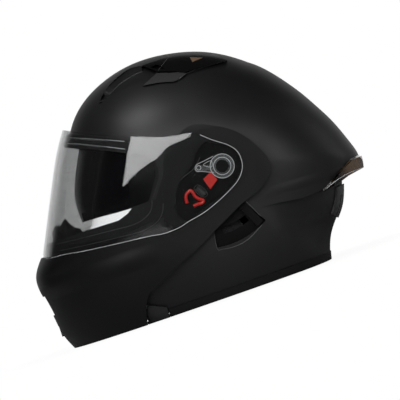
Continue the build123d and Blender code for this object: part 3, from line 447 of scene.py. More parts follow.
# %% Metals and foam
def metal(name, colour, roughness, brush_scale):
    """Brushed metal: noise stretched along Y makes the fine lines left by the brush."""
    finish = Finish(name)
    squeezed = finish.node("ShaderNodeMapping",
                           values={"Vector": finish.place, "Scale": (1.0, 0.06, 1.0)})
    lines = finish.node("ShaderNodeTexNoise",
                        values={"Vector": squeezed, "Scale": brush_scale, "Detail": 2.0})
    shader = finish.surface(
        Base_Color=finish.tint(lines, tuple(c * 0.8 for c in colour), colour),
        Roughness=lines * 0.2 + (roughness - 0.1), Metallic=1.0,
        Normal=finish.bumps(lines, 0.00002))
    return finish.close(shader)


def bead_foam(name, beads_per_metre=340.0):
    """Expanded foam: the round beads of its cells pressed flat against each other."""
    finish = Finish(name)
    cells = finish.node("ShaderNodeTexVoronoi", {"feature": "DISTANCE_TO_EDGE"},
                        {"Vector": finish.place, "Scale": beads_per_metre})
    rounded = (cells * 3.0).least(1.0)
    shader = finish.surface(
        Base_Color=finish.tint(rounded, (0.010, 0.010, 0.011), (0.030, 0.030, 0.032)),
        Roughness=0.85, Normal=finish.bumps(rounded, 0.0003))
    return finish.close(shader)


steel = metal("steel", (0.56, 0.56, 0.57), roughness=0.34, brush_scale=900.0)
chrome = metal("chrome_trim", (0.72, 0.71, 0.69), roughness=0.16, brush_scale=500.0)
foam = bead_foam("foam")
print("two metals and one foam")


# %% [markdown]
# ## Lenses
#
# The clear visor is two millimetres of polycarbonate. Bending of light in
# so thin a sheet hardly shows, while its mirror reflections do, so the
# shader lets the light straight through and adds a reflection that grows
# at grazing angles. The dark inner lens, the amber spoiler and the clear
# gears take the same recipe with a tint.

# %% Lens shaders
def lens(name, tint, body, cover, roughness, gain=1.0, dark_before=None, dark_fade=70.0):
    """Light tinted by tint passes straight through; body hides it by cover, and a mirror lies over
    both. Where dark_before is given, the body turns black ahead of that place."""
    finish = Finish(name)
    haze = finish.noise(9.0, 2.0)
    if dark_before is not None:
        along = finish.node("ShaderNodeSeparateXYZ", values={"Vector": finish.place}).output("X")
        behind = ((along - dark_before) * dark_fade).most(0.0).least(1.0)
        body = finish.tint(behind * (0.55 + haze * 0.6), (0.002, 0.002, 0.002), body)
    through = finish.node("ShaderNodeBsdfTransparent", values={"Color": (*tint, 1.0)})
    inside = finish.surface(Base_Color=body, Roughness=haze * 0.1 + 0.3, Specular_IOR_Level=0.0)
    filled = finish.node("ShaderNodeMixShader",
                         values={0: haze * 0.002 + cover, 1: through, 2: inside})
    shine = finish.node("ShaderNodeFresnel", values={"IOR": 1.52})
    mirror = finish.surface(Base_Color=(0.95, 0.95, 0.95), Metallic=1.0,
                            Roughness=haze * 0.02 + roughness)
    share = (shine * gain).least(0.6)
    return finish.close(finish.node("ShaderNodeMixShader", values={0: share, 1: filled, 2: mirror}))


clear_lens = lens("clear_lens", tint=(0.985, 0.99, 0.99), body=(0.30, 0.31, 0.32), cover=0.001,
                  roughness=0.01, gain=0.85)
dark_lens = lens("dark_lens", tint=(0.04, 0.04, 0.045), body=(0.002, 0.002, 0.003), cover=0.85,
                 roughness=0.05, gain=0.45)
amber_lens = lens("amber_lens", tint=(0.36, 0.23, 0.12), body=(0.20, 0.125, 0.070), cover=0.70,
                  roughness=0.08, dark_before=0.146)
gear_lens = lens("clear_gear", tint=(0.90, 0.92, 0.92), body=(0.55, 0.57, 0.58), cover=0.18,
                 roughness=0.10)
print("four lenses")

# %% [markdown]
# ### Which part gets which finish
#
# The frame names a material for each hard part. A table turns that name
# into a finish, and a second one holds the few parts that look different
# from the rest of their material, such as all that lies deep in a pocket,
# painted near black for the shade there.

# %% Finishes go on the parts that keep their own shape
hard_finishes = {
    "shell_black": shell_black, "vent_gloss": gloss_black, "trim_rubber": rubber, "foam": foam,
    "clear_lens": clear_lens, "dark_lens": dark_lens, "amber_lens": amber_lens,
    "red_plastic": red_plastic, "dark_plastic": dark_plastic, "steel": steel, "chrome_trim": chrome,
}
special_finishes = {"chin_bar": chin_shaded_black, "lever_tray": pocket_shade_black, "visor_screws": pocket_shade_black,
                    "sun_visor_lever": pocket_shade_black}
# Parts deep in the pocket get near black, painted shade, and the vent wings a lighter grey, painted
# light.
for pair, finish in (("visor_gear", gear_lens), ("visor_base", pocket_shade_black), ("sun_arm", pocket_shade_black),
                     ("visor_pivot", pocket_shade_black), ("top_vent_wing", fin_grey_painted_light)):
    special_finishes.update({pair + "_left": finish, pair + "_right": finish})
slot_of = {row["node"]: row["material_slot"] for row in frame["record"]["subparts"]}
for name, part in nodes.items():
    finish = hard_finishes.get(slot_of[name])
    finish = special_finishes.get(name, finish)
    if finish is not None:
        part.data.materials.clear()
        part.data.materials.append(finish)
print(sum(slot_of[name] in hard_finishes for name in nodes), "parts finished")

# %% [markdown]
# ## Edges and small parts
#
# A clear sheet glows along its cut edge, because light that enters the
# sheet leaves it there, and sharp rims catch thin lines of light. So the
# visor's edge, the ribs of its clear gears and the sharp rims of the
# pocket get painted highlights: thin pale and grey bars, laid on the
# parts that they belong to.

# %% Bars along a path
def smooth_path(places, steps=6, closed=False):
    """A Catmull-Rom curve through the places a, b, c, d ...: between b and c it is
    (2b + (c - a) t + (2a - 5b + 4c - d) t^2 + (3b - a - 3c + d) t^3) / 2."""
    places = np.array(places, dtype=float)
    before, after = (places[-1:], places[:2]) if closed else (places[:1], places[-1:])
    around = np.vstack([before, places, after])
    t = np.linspace(0.0, 1.0, steps, endpoint=False)[:, None]
    curve = []
    for a, b, c, d in zip(around, around[1:], around[2:], around[3:]):
        curve.extend((2 * b + (c - a) * t + (2 * a - 5 * b + 4 * c - d) * t ** 2
                      + (3 * b - a - 3 * c + d) * t ** 3) / 2)
    return np.array(curve) if closed else np.vstack([curve, places[-1:]])


def laid_on(names, places, sign, lift=0.0, outside=0.3):
    """Side view places carried onto parts: from outside, straight in along Y to the first surface of
    any of them, and lift metres off it."""
    points = []
    for x, z in places:
        start = Vector((x, sign * outside, z))
        hits = [nodes[name].ray_cast(start, Vector((0.0, -sign, 0.0))) for name in names]
        found = [(abs(hit.y), hit + normal * lift) for struck, hit, normal, _ in hits if struck]
        if found:
            points.append(max(found, key=lambda item: item[0])[1])
    return np.array(points)


def level_at(places, y):
    """Side view places at one width."""
    places = np.array(places, dtype=float)
    return np.column_stack([places[:, 0], np.full(len(places), y), places[:, 1]])


def seal(piece):
    """Joins doubled points at the ends and turns every face outward."""
    shape = bmesh.new()
    shape.from_mesh(piece.data)
    bmesh.ops.remove_doubles(shape, verts=shape.verts, dist=1e-6)
    bmesh.ops.recalc_face_normals(shape, faces=shape.faces)
    shape.to_mesh(piece.data)
    shape.free()


def round_bar(name, path, radius, finish, closed=False, sides=8):
    """A bar of round section: circles square to the path, c(a) = p + r (u cos a + v sin a)."""
    if closed:
        ahead = np.roll(path, -1, axis=0) - np.roll(path, 1, axis=0)
    else:
        ahead = np.gradient(path, axis=0)
    ahead = ahead / np.linalg.norm(ahead, axis=1, keepdims=True)
    u = np.cross(ahead, np.array((0.0, 1.0, 0.0)))
    u = u / np.linalg.norm(u, axis=1, keepdims=True)
    v = np.cross(ahead, u)
    angle = np.linspace(0.0, 2 * np.pi, sides, endpoint=False)[None, :, None]
    points = path[:, None] + radius * (u[:, None] * np.cos(angle) + v[:, None] * np.sin(angle))
    if not closed:
        ends = np.repeat(path[[0, -1], None], sides, axis=1)
        points = np.concatenate([ends[:1], points, ends[1:]])
    piece = grid_piece(name, points, wrap_rows=closed, wrap_columns=True)
    seal(piece)
    piece.data.materials.append(finish)
    return piece


def joined(name, pieces):
    """One mesh from several with the same finish."""
    shape = bmesh.new()
    for piece in pieces:
        shape.from_mesh(piece.data)
    finish = pieces[0].data.materials[0]
    mesh = bpy.data.meshes.new(name)
    shape.to_mesh(mesh)
    shape.free()
    mesh.materials.append(finish)
    for piece in pieces:
        bpy.data.objects.remove(piece)
    whole = bpy.data.objects.new(name, mesh)
    bpy.context.scene.collection.objects.link(whole)
    return whole


# %% [markdown]
# ### Visor edge and gears
#
# The visor turns on two clear ratchet rings, each with a short arm. Their
# solids stay as they are, and thin pale bars on the outer face paint the
# light along the ribs, which light up like the visor's own edge: painted
# highlights.

# %% Painted highlights on the visor's edge and on its gears
both_sides = (("left", -1.0), ("right", 1.0))
web_line, fine_line, mid_line, bold_line = 0.00025, 0.0003, 0.00035, 0.0004
visor_edge_places = [
    (-0.1545, 0.0945), (-0.1410, 0.0936), (-0.1207, 0.0905), (-0.0844, 0.0864), (-0.0530, 0.0831),
    (-0.0377, 0.0808), (-0.0221, 0.0813), (-0.0096, 0.0842), (0.0078, 0.0877), (0.0288, 0.0956),
    (0.0471, 0.1052), (0.0554, 0.1139), (0.0585, 0.1223), (0.0578, 0.1331), (0.0513, 0.1424),
    (0.0380, 0.1525), (0.0282, 0.1612),
]
edge_sink, rib_sink = 0.0002, 0.00015
axis_place, outer_ring, inner_ring = (0.0388, 0.1250), 0.0119, 0.0086
boss_place, boss_ring = (0.0163, 0.1309), 0.0022
gear_arm = [(0.0335, 0.1370), (0.0250, 0.1357), (0.0166, 0.1347), (0.0137, 0.1331),
            (0.0127, 0.1306), (0.0138, 0.1281), (0.0163, 0.1272), (0.0230, 0.1242), (0.0290, 0.1217)]
gear_web = [(0.0300, 0.1335), (0.0215, 0.1320), (0.0285, 0.1275)]


def circle(centre, radius, steps=40):
    """Side view places round a circle."""
    angle = np.linspace(0.0, 2 * np.pi, steps, endpoint=False)
    return np.column_stack([centre[0] + radius * np.cos(angle), centre[1] + radius * np.sin(angle)])


# Each line: its name, outline, radius, and whether it closes on itself.
gear_lines = [
    ("ring", circle(axis_place, outer_ring), mid_line, True),
    ("ring", circle(axis_place, inner_ring), fine_line, True),
    ("boss", circle(boss_place, boss_ring, 20), fine_line, True),
    ("arm", smooth_path(gear_arm), fine_line, False),
    ("web", smooth_path(gear_web, closed=True), web_line, True),
]
for side, sign in both_sides:
    # A pale bar along the visor's edge: a painted highlight.
    edge = laid_on(["visor"], smooth_path(visor_edge_places), sign, -edge_sink)
    visor_edge = round_bar("visor_edge_" + side, edge, fine_line, edge_highlight_pale)
    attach(visor_edge, "visor_assembly")
    low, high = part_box("visor_gear_" + side)
    face = (low[1] if sign < 0 else high[1]) - sign * rib_sink
    # Pale bars along the gear ribs: painted highlights.
    rib_highlights = joined("gear_rib_highlights_" + side, [
        round_bar(name, level_at(places, face), radius, edge_highlight_pale, closed=closed)
        for name, places, radius, closed in gear_lines])
    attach(rib_highlights, "visor_assembly")
print("visor edge and gear ribs")

# %% [markdown]
# ### Visor pocket
#
# Behind each gear lies a pocket with a red latch fork, a spring under a
# small cover, and guide rails. The fork is a bent bar of one thickness,
# so a circle carried along its path gives its shape, and the cover is cut
# from its outline. The light along the rails, the pocket's rim and the
# cover's edges is painted highlight, drawn as thin grey bars. The small
# tongue behind each lower corner clip is a plate too, and closes the gap
# between clip and rim.

# %% The pocket's fork, spring cover and painted highlights on its rails
fork_path = [(-0.0060, 0.1012), (-0.0056, 0.1060), (-0.0036, 0.1102), (0.0012, 0.1122),
             (0.0030, 0.1090), (0.0036, 0.1056), (0.0062, 0.1020), (0.0100, 0.0990),
             (0.0080, 0.0968), (0.0030, 0.0972), (-0.0010, 0.0966)]
fork_radius, fork_width = 0.0017, 0.1240
cover_corners = [(0.0106, 0.1150), (0.0163, 0.1047), (0.0112, 0.1018), (0.0050, 0.1118)]
cover_widths = (0.1227, 0.1246)
tongue_corners = [(-0.0862, 0.0004), (-0.0578, 0.0004), (-0.0578, 0.0030), (-0.0862, 0.0030)]
tongue_widths = (0.0912, 0.0926)
rail_path = [(0.0108, 0.1258), (0.0026, 0.1203), (-0.0052, 0.1149)]
rim_path = [(0.0209, 0.1400), (0.0108, 0.1315), (-0.0016, 0.1268), (-0.0084, 0.1218),
            (-0.0140, 0.1130), (-0.0177, 0.1040)]
cover_seam = [(0.0084, 0.1130), (0.0138, 0.1036)]
# Each line: its name, outline, distance from the middle, radius, and whether it closes on itself.
pocket_lines = [
    ("rail", smooth_path(rail_path), 0.1231, 0.0004, False),
    ("rim", smooth_path(rim_path), 0.1252, 0.0003, False),
    ("seam", smooth_path(cover_seam), 0.1247, 0.0005, False),
    ("lid", smooth_path(cover_corners, closed=True), 0.1244, 0.0003, True),
]


def plate(name, corners, widths, sign, finish, lid_share=0.86, rim_drop=0.2):
    """A plate from its corners in the side view, carried from the first width to the second. Its lid
    is lid_share of the outline, and a groove parts it from a rim that lies rim_drop of the height
    lower."""
    low, high = (level_at(corners, sign * width) for width in widths)
    middles = np.stack([low, high]).mean(axis=1, keepdims=True)
    lid = middles + (high - middles[1]) * lid_share
    rim = high - (high - low) * rim_drop
    heel, top = np.repeat(middles, len(corners), axis=1)
    piece = grid_piece(name, np.stack([heel, low, rim, *lid, top]), wrap_columns=True, smooth=False)
    seal(piece)
    piece.data.materials.append(finish)
    return piece


for side, sign in both_sides:
    fork = round_bar("red_fork_" + side, level_at(smooth_path(fork_path), sign * fork_width),
                     fork_radius, red_plastic)
    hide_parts("visor_fork_" + side)
    cover = plate("spring_cover_" + side, cover_corners, cover_widths, sign, dark_plastic)
    # Grey bars along the rails, the pocket's rim and the cover's edges: painted highlights.
    pocket_highlights = joined("pocket_highlights_" + side, [
        round_bar(name, level_at(places, sign * width), radius, line_highlight_grey, closed=closed)
        for name, places, width, radius, closed in pocket_lines])
    for piece in (fork, cover, pocket_highlights):
        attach(piece, "chin_bar_assembly")
    tongue = plate("clip_tongue_" + side, tongue_corners, tongue_widths, sign, dark_plastic)
    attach(tongue, "shell_assembly")
print("pocket parts and clip tongues")

# %% [markdown]
# ### Top vent
#
# The vent's lobes are gloss, with a fine moulded line across them and a
# lip below, and a small bronze insert shows between them. The light along
# the line and the lip is painted highlight: grey bars dropped onto the
# surface. The insert is a thin plate whose three corners are dropped onto
# it too.

# %% Top vent lines
vent_cross = [(0.0240, 0.2462), (0.0172, 0.2418), (0.0105, 0.2370)]
vent_lip = [(0.0255, 0.2205), (0.0367, 0.2245), (0.0574, 0.2248), (0.0775, 0.2240)]
bronze_corners = [(0.0443, 0.2392), (0.0567, 0.2345), (0.0455, 0.2335)]
insert_rise, insert_sink = 0.0003, 0.0005
for side, sign in both_sides:
    under = ["outer_shell", "top_vent_" + side, "top_vent_wing_" + side]
    # Grey bars across the vent and along its lip: painted highlights.
    lines = joined("vent_lines_" + side, [
        round_bar("cross", laid_on(under, smooth_path(vent_cross), sign), fine_line, line_highlight_grey),
        round_bar("lip", laid_on(under, smooth_path(vent_lip), sign), bold_line, line_highlight_grey),
    ])
    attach(lines, "shell_assembly")
    base, face = (laid_on(under, bronze_corners, sign, lift)
                  for lift in (-insert_sink, insert_rise))
    heel, middle = (np.repeat(ring.mean(axis=0, keepdims=True), len(ring), axis=0)
                    for ring in (base, face))
    insert = grid_piece("vent_insert_" + side, np.stack([heel, base, face, middle]),
                        wrap_columns=True, smooth=False)
    seal(insert)
    insert.data.materials.append(bronze)
    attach(insert, "shell_assembly")
print("top vent lines")

# %% [markdown]
# ### Brow, lever window and spoiler
#
# The brow seal has two lips that catch the light behind the visor, the
# lever's window has a rolled rim that catches a line of light, and the
# spoiler's lower edge is bright. Each of these lines of light is a
# painted highlight: a thin pale or grey bar dropped onto the surface
# along its line in the side view. The top scoops are cut sharply into the
# shell, so a soft bank is laid from their upper edge to their floor.

# %% Painted highlight lines on the brow, the lever window and the spoiler
brow_upper = [(-0.1290, 0.2080), (-0.1054, 0.2060), (-0.0750, 0.1935), (-0.0448, 0.1800)]
brow_lower = [(-0.1250, 0.1975), (-0.1039, 0.1990), (-0.0750, 0.1865), (-0.0467, 0.1725)]
gasket_upper = [(-0.1440, 0.1060), (-0.1200, 0.1035), (-0.0900, 0.1010), (-0.0620, 0.0990),
                (-0.0470, 0.1030), (-0.0400, 0.1100), (-0.0370, 0.1200)]
gasket_lower = [(-0.1420, 0.0985), (-0.1180, 0.0955), (-0.0880, 0.0925), (-0.0560, 0.0900),
                (-0.0400, 0.0940), (-0.0320, 0.1010), (-0.0285, 0.1090)]
scoop_upper = [(-0.0564, 0.2262), (-0.0453, 0.2378), (-0.0337, 0.2456), (-0.0157, 0.2502),
               (-0.0040, 0.2480)]
scoop_lower = [(-0.0490, 0.2265), (-0.0385, 0.2330), (-0.0290, 0.2372), (-0.0155, 0.2405),
               (-0.0045, 0.2415)]
scoop_thickness = 0.0006
window_rim_highlight = [(0.0092, 0.0640), (0.0075, 0.0490), (0.0128, 0.0468), (0.0250, 0.0455),
              (0.0372, 0.0473), (0.0490, 0.0525), (0.0600, 0.0603), (0.0560, 0.0710),
              (0.0492, 0.0852)]
spoiler_low = [(0.1284, 0.0690), (0.1400, 0.0735), (0.1565, 0.0768), (0.1740, 0.0772)]


def scoop_slope(name, sign, rows=8):
    """A soft bank from the crown down to the scoop's floor: p = a + (b - a) t between the two
    curves, with a back face below it."""
    curves = [laid_on(["outer_shell"], smooth_path(path), sign)
              for path in (scoop_upper, scoop_lower)]
    count = min(len(curve) for curve in curves)
    along = np.linspace(0.0, 1.0, count)
    top, foot = (curve[np.round(along * (len(curve) - 1)).astype(int)] for curve in curves)
    t = np.linspace(0.0, 1.0, rows)[:, None, None]
    front = top * (1.0 - t) + foot * t
    rear = front[::-1] - np.array((0.0, sign * scoop_thickness, scoop_thickness))
    points = np.concatenate([front, rear])
    ends = points[:, [0, -1]].mean(axis=0, keepdims=True)
    first = np.repeat(ends[:, :1], len(points), axis=0)
    last = np.repeat(ends[:, 1:], len(points), axis=0)
    piece = grid_piece(name, np.concatenate([first, points, last], axis=1), wrap_rows=True)
    seal(piece)
    piece.data.materials.append(shell_black)
    print(name, count, "columns")
    return piece


for side, sign in both_sides:
    brow = ["brow_gasket", "outer_shell"]
    lips = [laid_on(brow, smooth_path(path), sign) for path in (brow_upper, brow_lower)]
    # Pale bars along the brow seal's lips: painted highlights.
    seal_lines = joined("brow_lines_" + side,
                        [round_bar("lip", lip, mid_line, edge_highlight_pale) for lip in lips])
    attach(seal_lines, "shell_assembly")
    port = ["lower_gasket", "chin_bar"]
    # Grey bars along the gasket's two folds: painted highlights.
    folds = [laid_on(port, smooth_path(path), sign) for path in (gasket_upper, gasket_lower)]
    fold_lines = joined("gasket_lines_" + side,
                        [round_bar("fold", fold, fine_line, line_highlight_grey) for fold in folds])
    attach(fold_lines, "chin_bar_assembly")
    slope = scoop_slope("scoop_slope_" + side, sign)
    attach(slope, "shell_assembly")
    if side == "left":
        # A grey bar round the lever window's rim: a painted highlight.
        rim_highlight_places = laid_on(["outer_shell"], smooth_path(window_rim_highlight), sign)
        rim = round_bar("window_rim_highlight", rim_highlight_places, bold_line, line_highlight_grey)
        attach(rim, "shell_assembly")
    # A pale bar along the spoiler's lower edge: a painted highlight.
    edge = laid_on(["rear_spoiler", "outer_shell"], smooth_path(spoiler_low), sign)
    spoiler_edge = round_bar("spoiler_edge_" + side, edge, bold_line, edge_highlight_pale)
    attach(spoiler_edge, "shell_assembly")
print("brow, window and spoiler lines")

# %% [markdown]
# ### Nose rest
#
# The breath guard ends in a soft rubber hood over the nose, whose peak
# shows behind the visor's lower edge. Its outline from the side is known
# best, so that outline is carried across the nose and shrinks toward both
# ends.

# %% Nose rest
nose_profile = [(-0.1465, 0.1075), (-0.1455, 0.1150), (-0.1400, 0.1195), (-0.1340, 0.1240),
                (-0.1292, 0.1274), (-0.1262, 0.1215), (-0.1225, 0.1160), (-0.1180, 0.1130),
                (-0.1175, 0.1060), (-0.1250, 0.1010), (-0.1370, 0.1000)]
nose_half_width = 0.030


def hood(name, corners, half_width, steps=25):
    """A hood whose side outline shrinks toward both ends: its reach is (1 - s^2)^0.35, where s is
    the share of the half width."""
    centre = np.array(corners).mean(axis=0)
    outline = smooth_path(corners, closed=True) - centre
    share = np.sin(np.linspace(-0.5 * np.pi, 0.5 * np.pi, steps))
    reach = np.clip(1.0 - share ** 2, 0.0, 1.0) ** 0.35
    rows = [level_at(centre + outline * size, place * half_width)
            for size, place in zip(reach, share)]
    piece = grid_piece(name, np.stack(rows), wrap_columns=True)
    seal(piece)
    piece.data.materials.append(rubber)
    return piece


nose_rest = hood("nose_rest", nose_profile, nose_half_width)
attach(nose_rest, "chin_bar_assembly")
print("nose rest")

# %% [markdown]
# ## Cloth finishes
#
# The lining is brushed knit over foam, and the straps are woven nylon. A
# knit shows tiny loops in rows, and webbing shows slanted ribs; both are
# waves of a fixed pitch along the object's own axes, so they keep their
# size on every piece.

# %% Knit and webbing
def wave(finish, direction, pitch, distortion):
    """Bands of this pitch in metres: a Wave node of scale s repeats every 0.31 / s metres."""
    values = {"Vector": finish.place, "Scale": 0.31 / pitch, "Distortion": distortion}
    return finish.node("ShaderNodeTexWave", {"bands_direction": direction}, values).output("Fac")


def knit(name, dark, light, pitch):
    """Rows of loops: two crossed waves of this pitch in metres, with a soft nap on top."""
    finish = Finish(name)
    across = wave(finish, "X", pitch, 1.5)
    loops = across * wave(finish, "DIAGONAL", pitch, 1.5)
    nap = finish.noise(700.0, 4.0)
    height = loops * 0.7 + nap * 0.3
    shader = finish.surface(
        Base_Color=finish.tint(height, dark, light), Roughness=nap * 0.1 + 0.82, Sheen_Weight=0.25,
        Sheen_Roughness=0.5, Specular_IOR_Level=0.2, Normal=finish.bumps(height, 0.0003))
    return finish.close(shader)


def webbing(name, dark, light, pitch):
    """Slanted ribs of this pitch in metres, crossed by a finer thread."""
    finish = Finish(name)
    rib_highlights = wave(finish, "DIAGONAL", pitch, 0.4)
    threads = finish.noise(1800.0, 2.0)
    height = rib_highlights * 0.75 + threads * 0.25
    shader = finish.surface(
        Base_Color=finish.tint(height, dark, light), Roughness=threads * 0.15 + 0.6,
        Specular_IOR_Level=0.3, Normal=finish.bumps(height, 0.0004))
    return finish.close(shader)


lining = knit("lining_cloth", (0.010, 0.010, 0.011), (0.034, 0.034, 0.037), pitch=0.0016)
mesh_lining = knit("lining_mesh", (0.014, 0.014, 0.016), (0.060, 0.060, 0.064), pitch=0.0030)
nylon = webbing("strap_webbing", (0.008, 0.008, 0.009), (0.026, 0.026, 0.028), pitch=0.0018)
print("three cloths")

# %% [markdown]
# ## Pads
#
# A pad is foam in a sewn cover, so its sides swell and its seams pull in.
# The frame holds each pad as a plain solid of the right size. A copy of
# that solid is rebuilt from even small faces, drawn in a little, blown up
# as cloth with the air pressure inside, and capped so that it cannot leave
# its place. Then each seam is pressed in as a groove.

# %% A pad from its solid
weld_distance = 0.00002


def merged_copy(name, node):
    """A new object with the node's mesh, its doubled points joined."""
    mesh = nodes[node].data.copy()
    mesh.name = name
    mesh.materials.clear()
    piece = bpy.data.objects.new(name, mesh)
    bpy.context.scene.collection.objects.link(piece)
    apply_modifiers(piece, [("WELD", {"merge_threshold": weld_distance})])
    return piece


def apply_modifiers(piece, steps):
    """Adds the modifiers in turn and keeps the shape that they give."""
    for kind, settings in steps:
        modifier = piece.modifiers.new(kind.lower(), kind)
        for key, value in settings.items():
            setattr(modifier, key, value)
    graph = bpy.context.evaluated_depsgraph_get()
    finished = bpy.data.meshes.new_from_object(piece.evaluated_get(graph), depsgraph=graph)
    piece.modifiers.clear()
    piece.data = finished


def points_of(piece):
    """The piece's points as an array of rows."""
    flat = np.empty(len(piece.data.vertices) * 3)
    piece.data.vertices.foreach_get("co", flat)
    return flat.reshape(-1, 3)


def normals_of(piece):
    """The direction that each point faces, as an array of rows."""
    flat = np.empty(len(piece.data.vertices) * 3, dtype=np.float32)
    piece.data.vertex_normals.foreach_get("vector", flat)
    return flat.reshape(-1, 3).astype(float)


def move_points(piece, points):
    """Writes new places for the piece's points."""
    piece.data.vertices.foreach_set("co", points.ravel())
    piece.data.update()


def swell(piece, cap, pressure=4.0, frames=20):
    """Blows the piece up as cloth and keeps each point within cap metres of where it began."""
    start = points_of(piece)
    cloth = piece.modifiers.new("cloth", "CLOTH")
    cloth.settings.use_pressure = True
    cloth.settings.uniform_pressure_force = pressure
    cloth.settings.effector_weights.gravity = 0.0
    cloth.point_cache.frame_start = 1
    cloth.point_cache.frame_end = frames
    for number in range(1, frames + 1):
        bpy.context.scene.frame_set(number)
    graph = bpy.context.evaluated_depsgraph_get()
    blown = piece.evaluated_get(graph)
    flat = np.empty(len(blown.data.vertices) * 3)
    blown.data.vertices.foreach_get("co", flat)
    step = flat.reshape(-1, 3) - start
    size = np.linalg.norm(step, axis=1, keepdims=True)
    step = step * np.minimum(1.0, cap / np.maximum(size, 1e-9))
    piece.modifiers.clear()
    bpy.context.scene.frame_set(1)
    move_points(piece, start + step)


def pad(name, node, voxel, inset, cap):
    """A padded piece in the place of a node's solid: rebuilt from faces of the size voxel, drawn in
    by inset, then swollen by up to cap."""
    piece = merged_copy(name, node)
    apply_modifiers(piece, [("REMESH", {"mode": "VOXEL", "voxel_size": voxel})])
    move_points(piece, points_of(piece) - normals_of(piece) * inset)
    swell(piece, cap)
    apply_modifiers(piece, [("SMOOTH", {"factor": 0.5, "iterations": 4}),
                            ("SUBSURF", {"levels": 1, "render_levels": 1})])
    piece.data.polygons.foreach_set("use_smooth", [True] * len(piece.data.polygons))
    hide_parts(node)
    print(name, len(piece.data.polygons), "faces")
    return piece


# %% [markdown]
# ### Seams
#
# A seam pulls the cover down into the foam. Each point near one moves in
# along its own normal, by a smooth curve of its distance, which keeps the
# groove soft and needs no cut in the mesh.

# %% Seams
seam_width = 0.0022


def press_seams(piece, height_of, depth):
    """Moves each point in along its normal by depth times a share from 0 to 1."""
    points = points_of(piece)
    share = height_of(points)[:, None]
    move_points(piece, points - normals_of(piece) * share * depth)


def groove(distance, width=seam_width):
    """1 on a seam, falling to nothing beyond its width, with a round bottom: exp(-(d / w)^2)."""
    return np.exp(-(distance / width) ** 2)


# %% [markdown]
# ### Crown lining
#
# The cap over the head is sewn in long panels that run from the brow to
# the nape, with a channel each side of the middle, so that air can pass
# over the scalp.

# %% Crown lining
channel_place, panel_place = 0.026, 0.062
front_band, rear_band = -0.038, 0.018


def crown_seams(points):
    """Seams along the cap at set widths from the middle, and two across it."""
    x, y = points.T[:2]
    along = groove(np.abs(np.abs(y) - channel_place))
    outer = groove(np.abs(np.abs(y) - panel_place))
    bands = groove(np.abs(x - rear_band)) + groove(np.abs(x - front_band))
    return np.clip(along + outer + bands, 0.0, 1.0)


crown_lining = pad("crown_lining", "crown_pad", voxel=0.004, inset=0.0012, cap=0.003)
press_seams(crown_lining, crown_seams, depth=0.0022)
crown_lining.data.materials.append(lining)
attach(crown_lining, "shell_assembly")

# %% [markdown]
# ### Cheek pads
#
# Each cheek pad is a thick wedge of foam with a flat sewn face and a seam
# round its edge.

# %% Cheek pads
rim_seam, cross_seam, cross_width = 0.62, -0.1, 0.002
face_reach = 0.088


def cheek_seams(side):
    """A seam round the rim of the pad's face, and one across its middle."""
    low, high = (np.array(corner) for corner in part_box("cheek_pad_" + side))
    middle = (low + high) / 2
    half = (high - low) / 2

    def share(points):
        x, _, z = ((points - middle) / half).T
        ring = np.abs(np.maximum(np.abs(x), np.abs(z)) - rim_seam) * half[2]
        face = np.abs(points[:, 1]) < face_reach
        across = groove(np.abs(z - cross_seam) * half[2], cross_width) * face
        return np.clip(groove(ring) + across, 0.0, 1.0)

    return share


for side in ("left", "right"):
    cushion = pad("cheek_cushion_" + side, "cheek_pad_" + side, voxel=0.004, inset=0.0024,
                  cap=0.0022)
    press_seams(cushion, cheek_seams(side), depth=0.002)
    cushion.data.materials.append(lining)
    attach(cushion, "shell_assembly")

# %% [markdown]
# ### Neck roll
#
# The roll round the nape is a tube of foam in smooth cloth, sewn off in
# segments so that it can bend.

# %% Neck roll
neck_middle = 0.02
segment_degrees = 22.0
metres_per_degree = 0.0016


def roll_seams(points):
    """Seams across the roll, evenly spaced by the angle round the neck."""
    x, y = points.T[:2]
    angle = np.degrees(np.arctan2(y, x - neck_middle))
    from_seam = np.mod(angle + segment_degrees / 2, segment_degrees) - segment_degrees / 2
    return groove(from_seam * metres_per_degree)


roll_pad = pad("neck_cushion", "neck_roll", voxel=0.0032, inset=0.0012, cap=0.0025)
press_seams(roll_pad, roll_seams, depth=0.002)
roll_pad.data.materials.append(lining)
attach(roll_pad, "shell_assembly")

# %% [markdown]
# ## Straps
#
# Webbing is a flat band with thick woven edges. Its section, a thin
# rounded rectangle, is carried down the shell's wall and in under the
# chin, and turns with the path. A padded sleeve lies on each half.

# %% Webbing carried along a path
strap_place = -0.016
strap_half, strap_thick = 0.0108, 0.0017
strap_bend = 0.006
rivet_reach, rivet_drop = 0.1084, 0.001
wall_reach, wall_level = 0.1075, 0.030
turn_reach, buckle_reach, strap_lift = 0.098, 0.0262, 0.0009


def rounded_path(corners, radius, steps=8):
    """Points along straight runs, each corner replaced by an arc-like curve that starts radius
    before it: p = (1 - t)^2 a + 2 t (1 - t) c + t^2 b."""
    path = [corners[0]]
    for before, corner, after in zip(corners, corners[1:], corners[2:]):
        start = corner + (before - corner) / np.linalg.norm(before - corner) * radius
        end = corner + (after - corner) / np.linalg.norm(after - corner) * radius
        turn = np.linspace(0.0, 1.0, steps)[:, None]
        path.extend((1 - turn) ** 2 * start + 2 * turn * (1 - turn) * corner + turn ** 2 * end)
    path.append(corners[-1])
    return np.array(path)


def band_section(half_width, half_thick, steps=48):
    """A flat oval: x = cos^0.4, y = sin^0.6, a quarter thicker at the woven edges."""
    angle = np.linspace(0.0, 2 * np.pi, steps, endpoint=False)
    across = np.sign(np.cos(angle)) * np.abs(np.cos(angle)) ** 0.4 * half_width
    through = np.sign(np.sin(angle)) * np.abs(np.sin(angle)) ** 0.6 * half_thick
    edge = 1.0 + 0.25 * np.exp(-((np.abs(across) - half_width * 0.86) / (half_width * 0.10)) ** 2)
    return across, through * edge


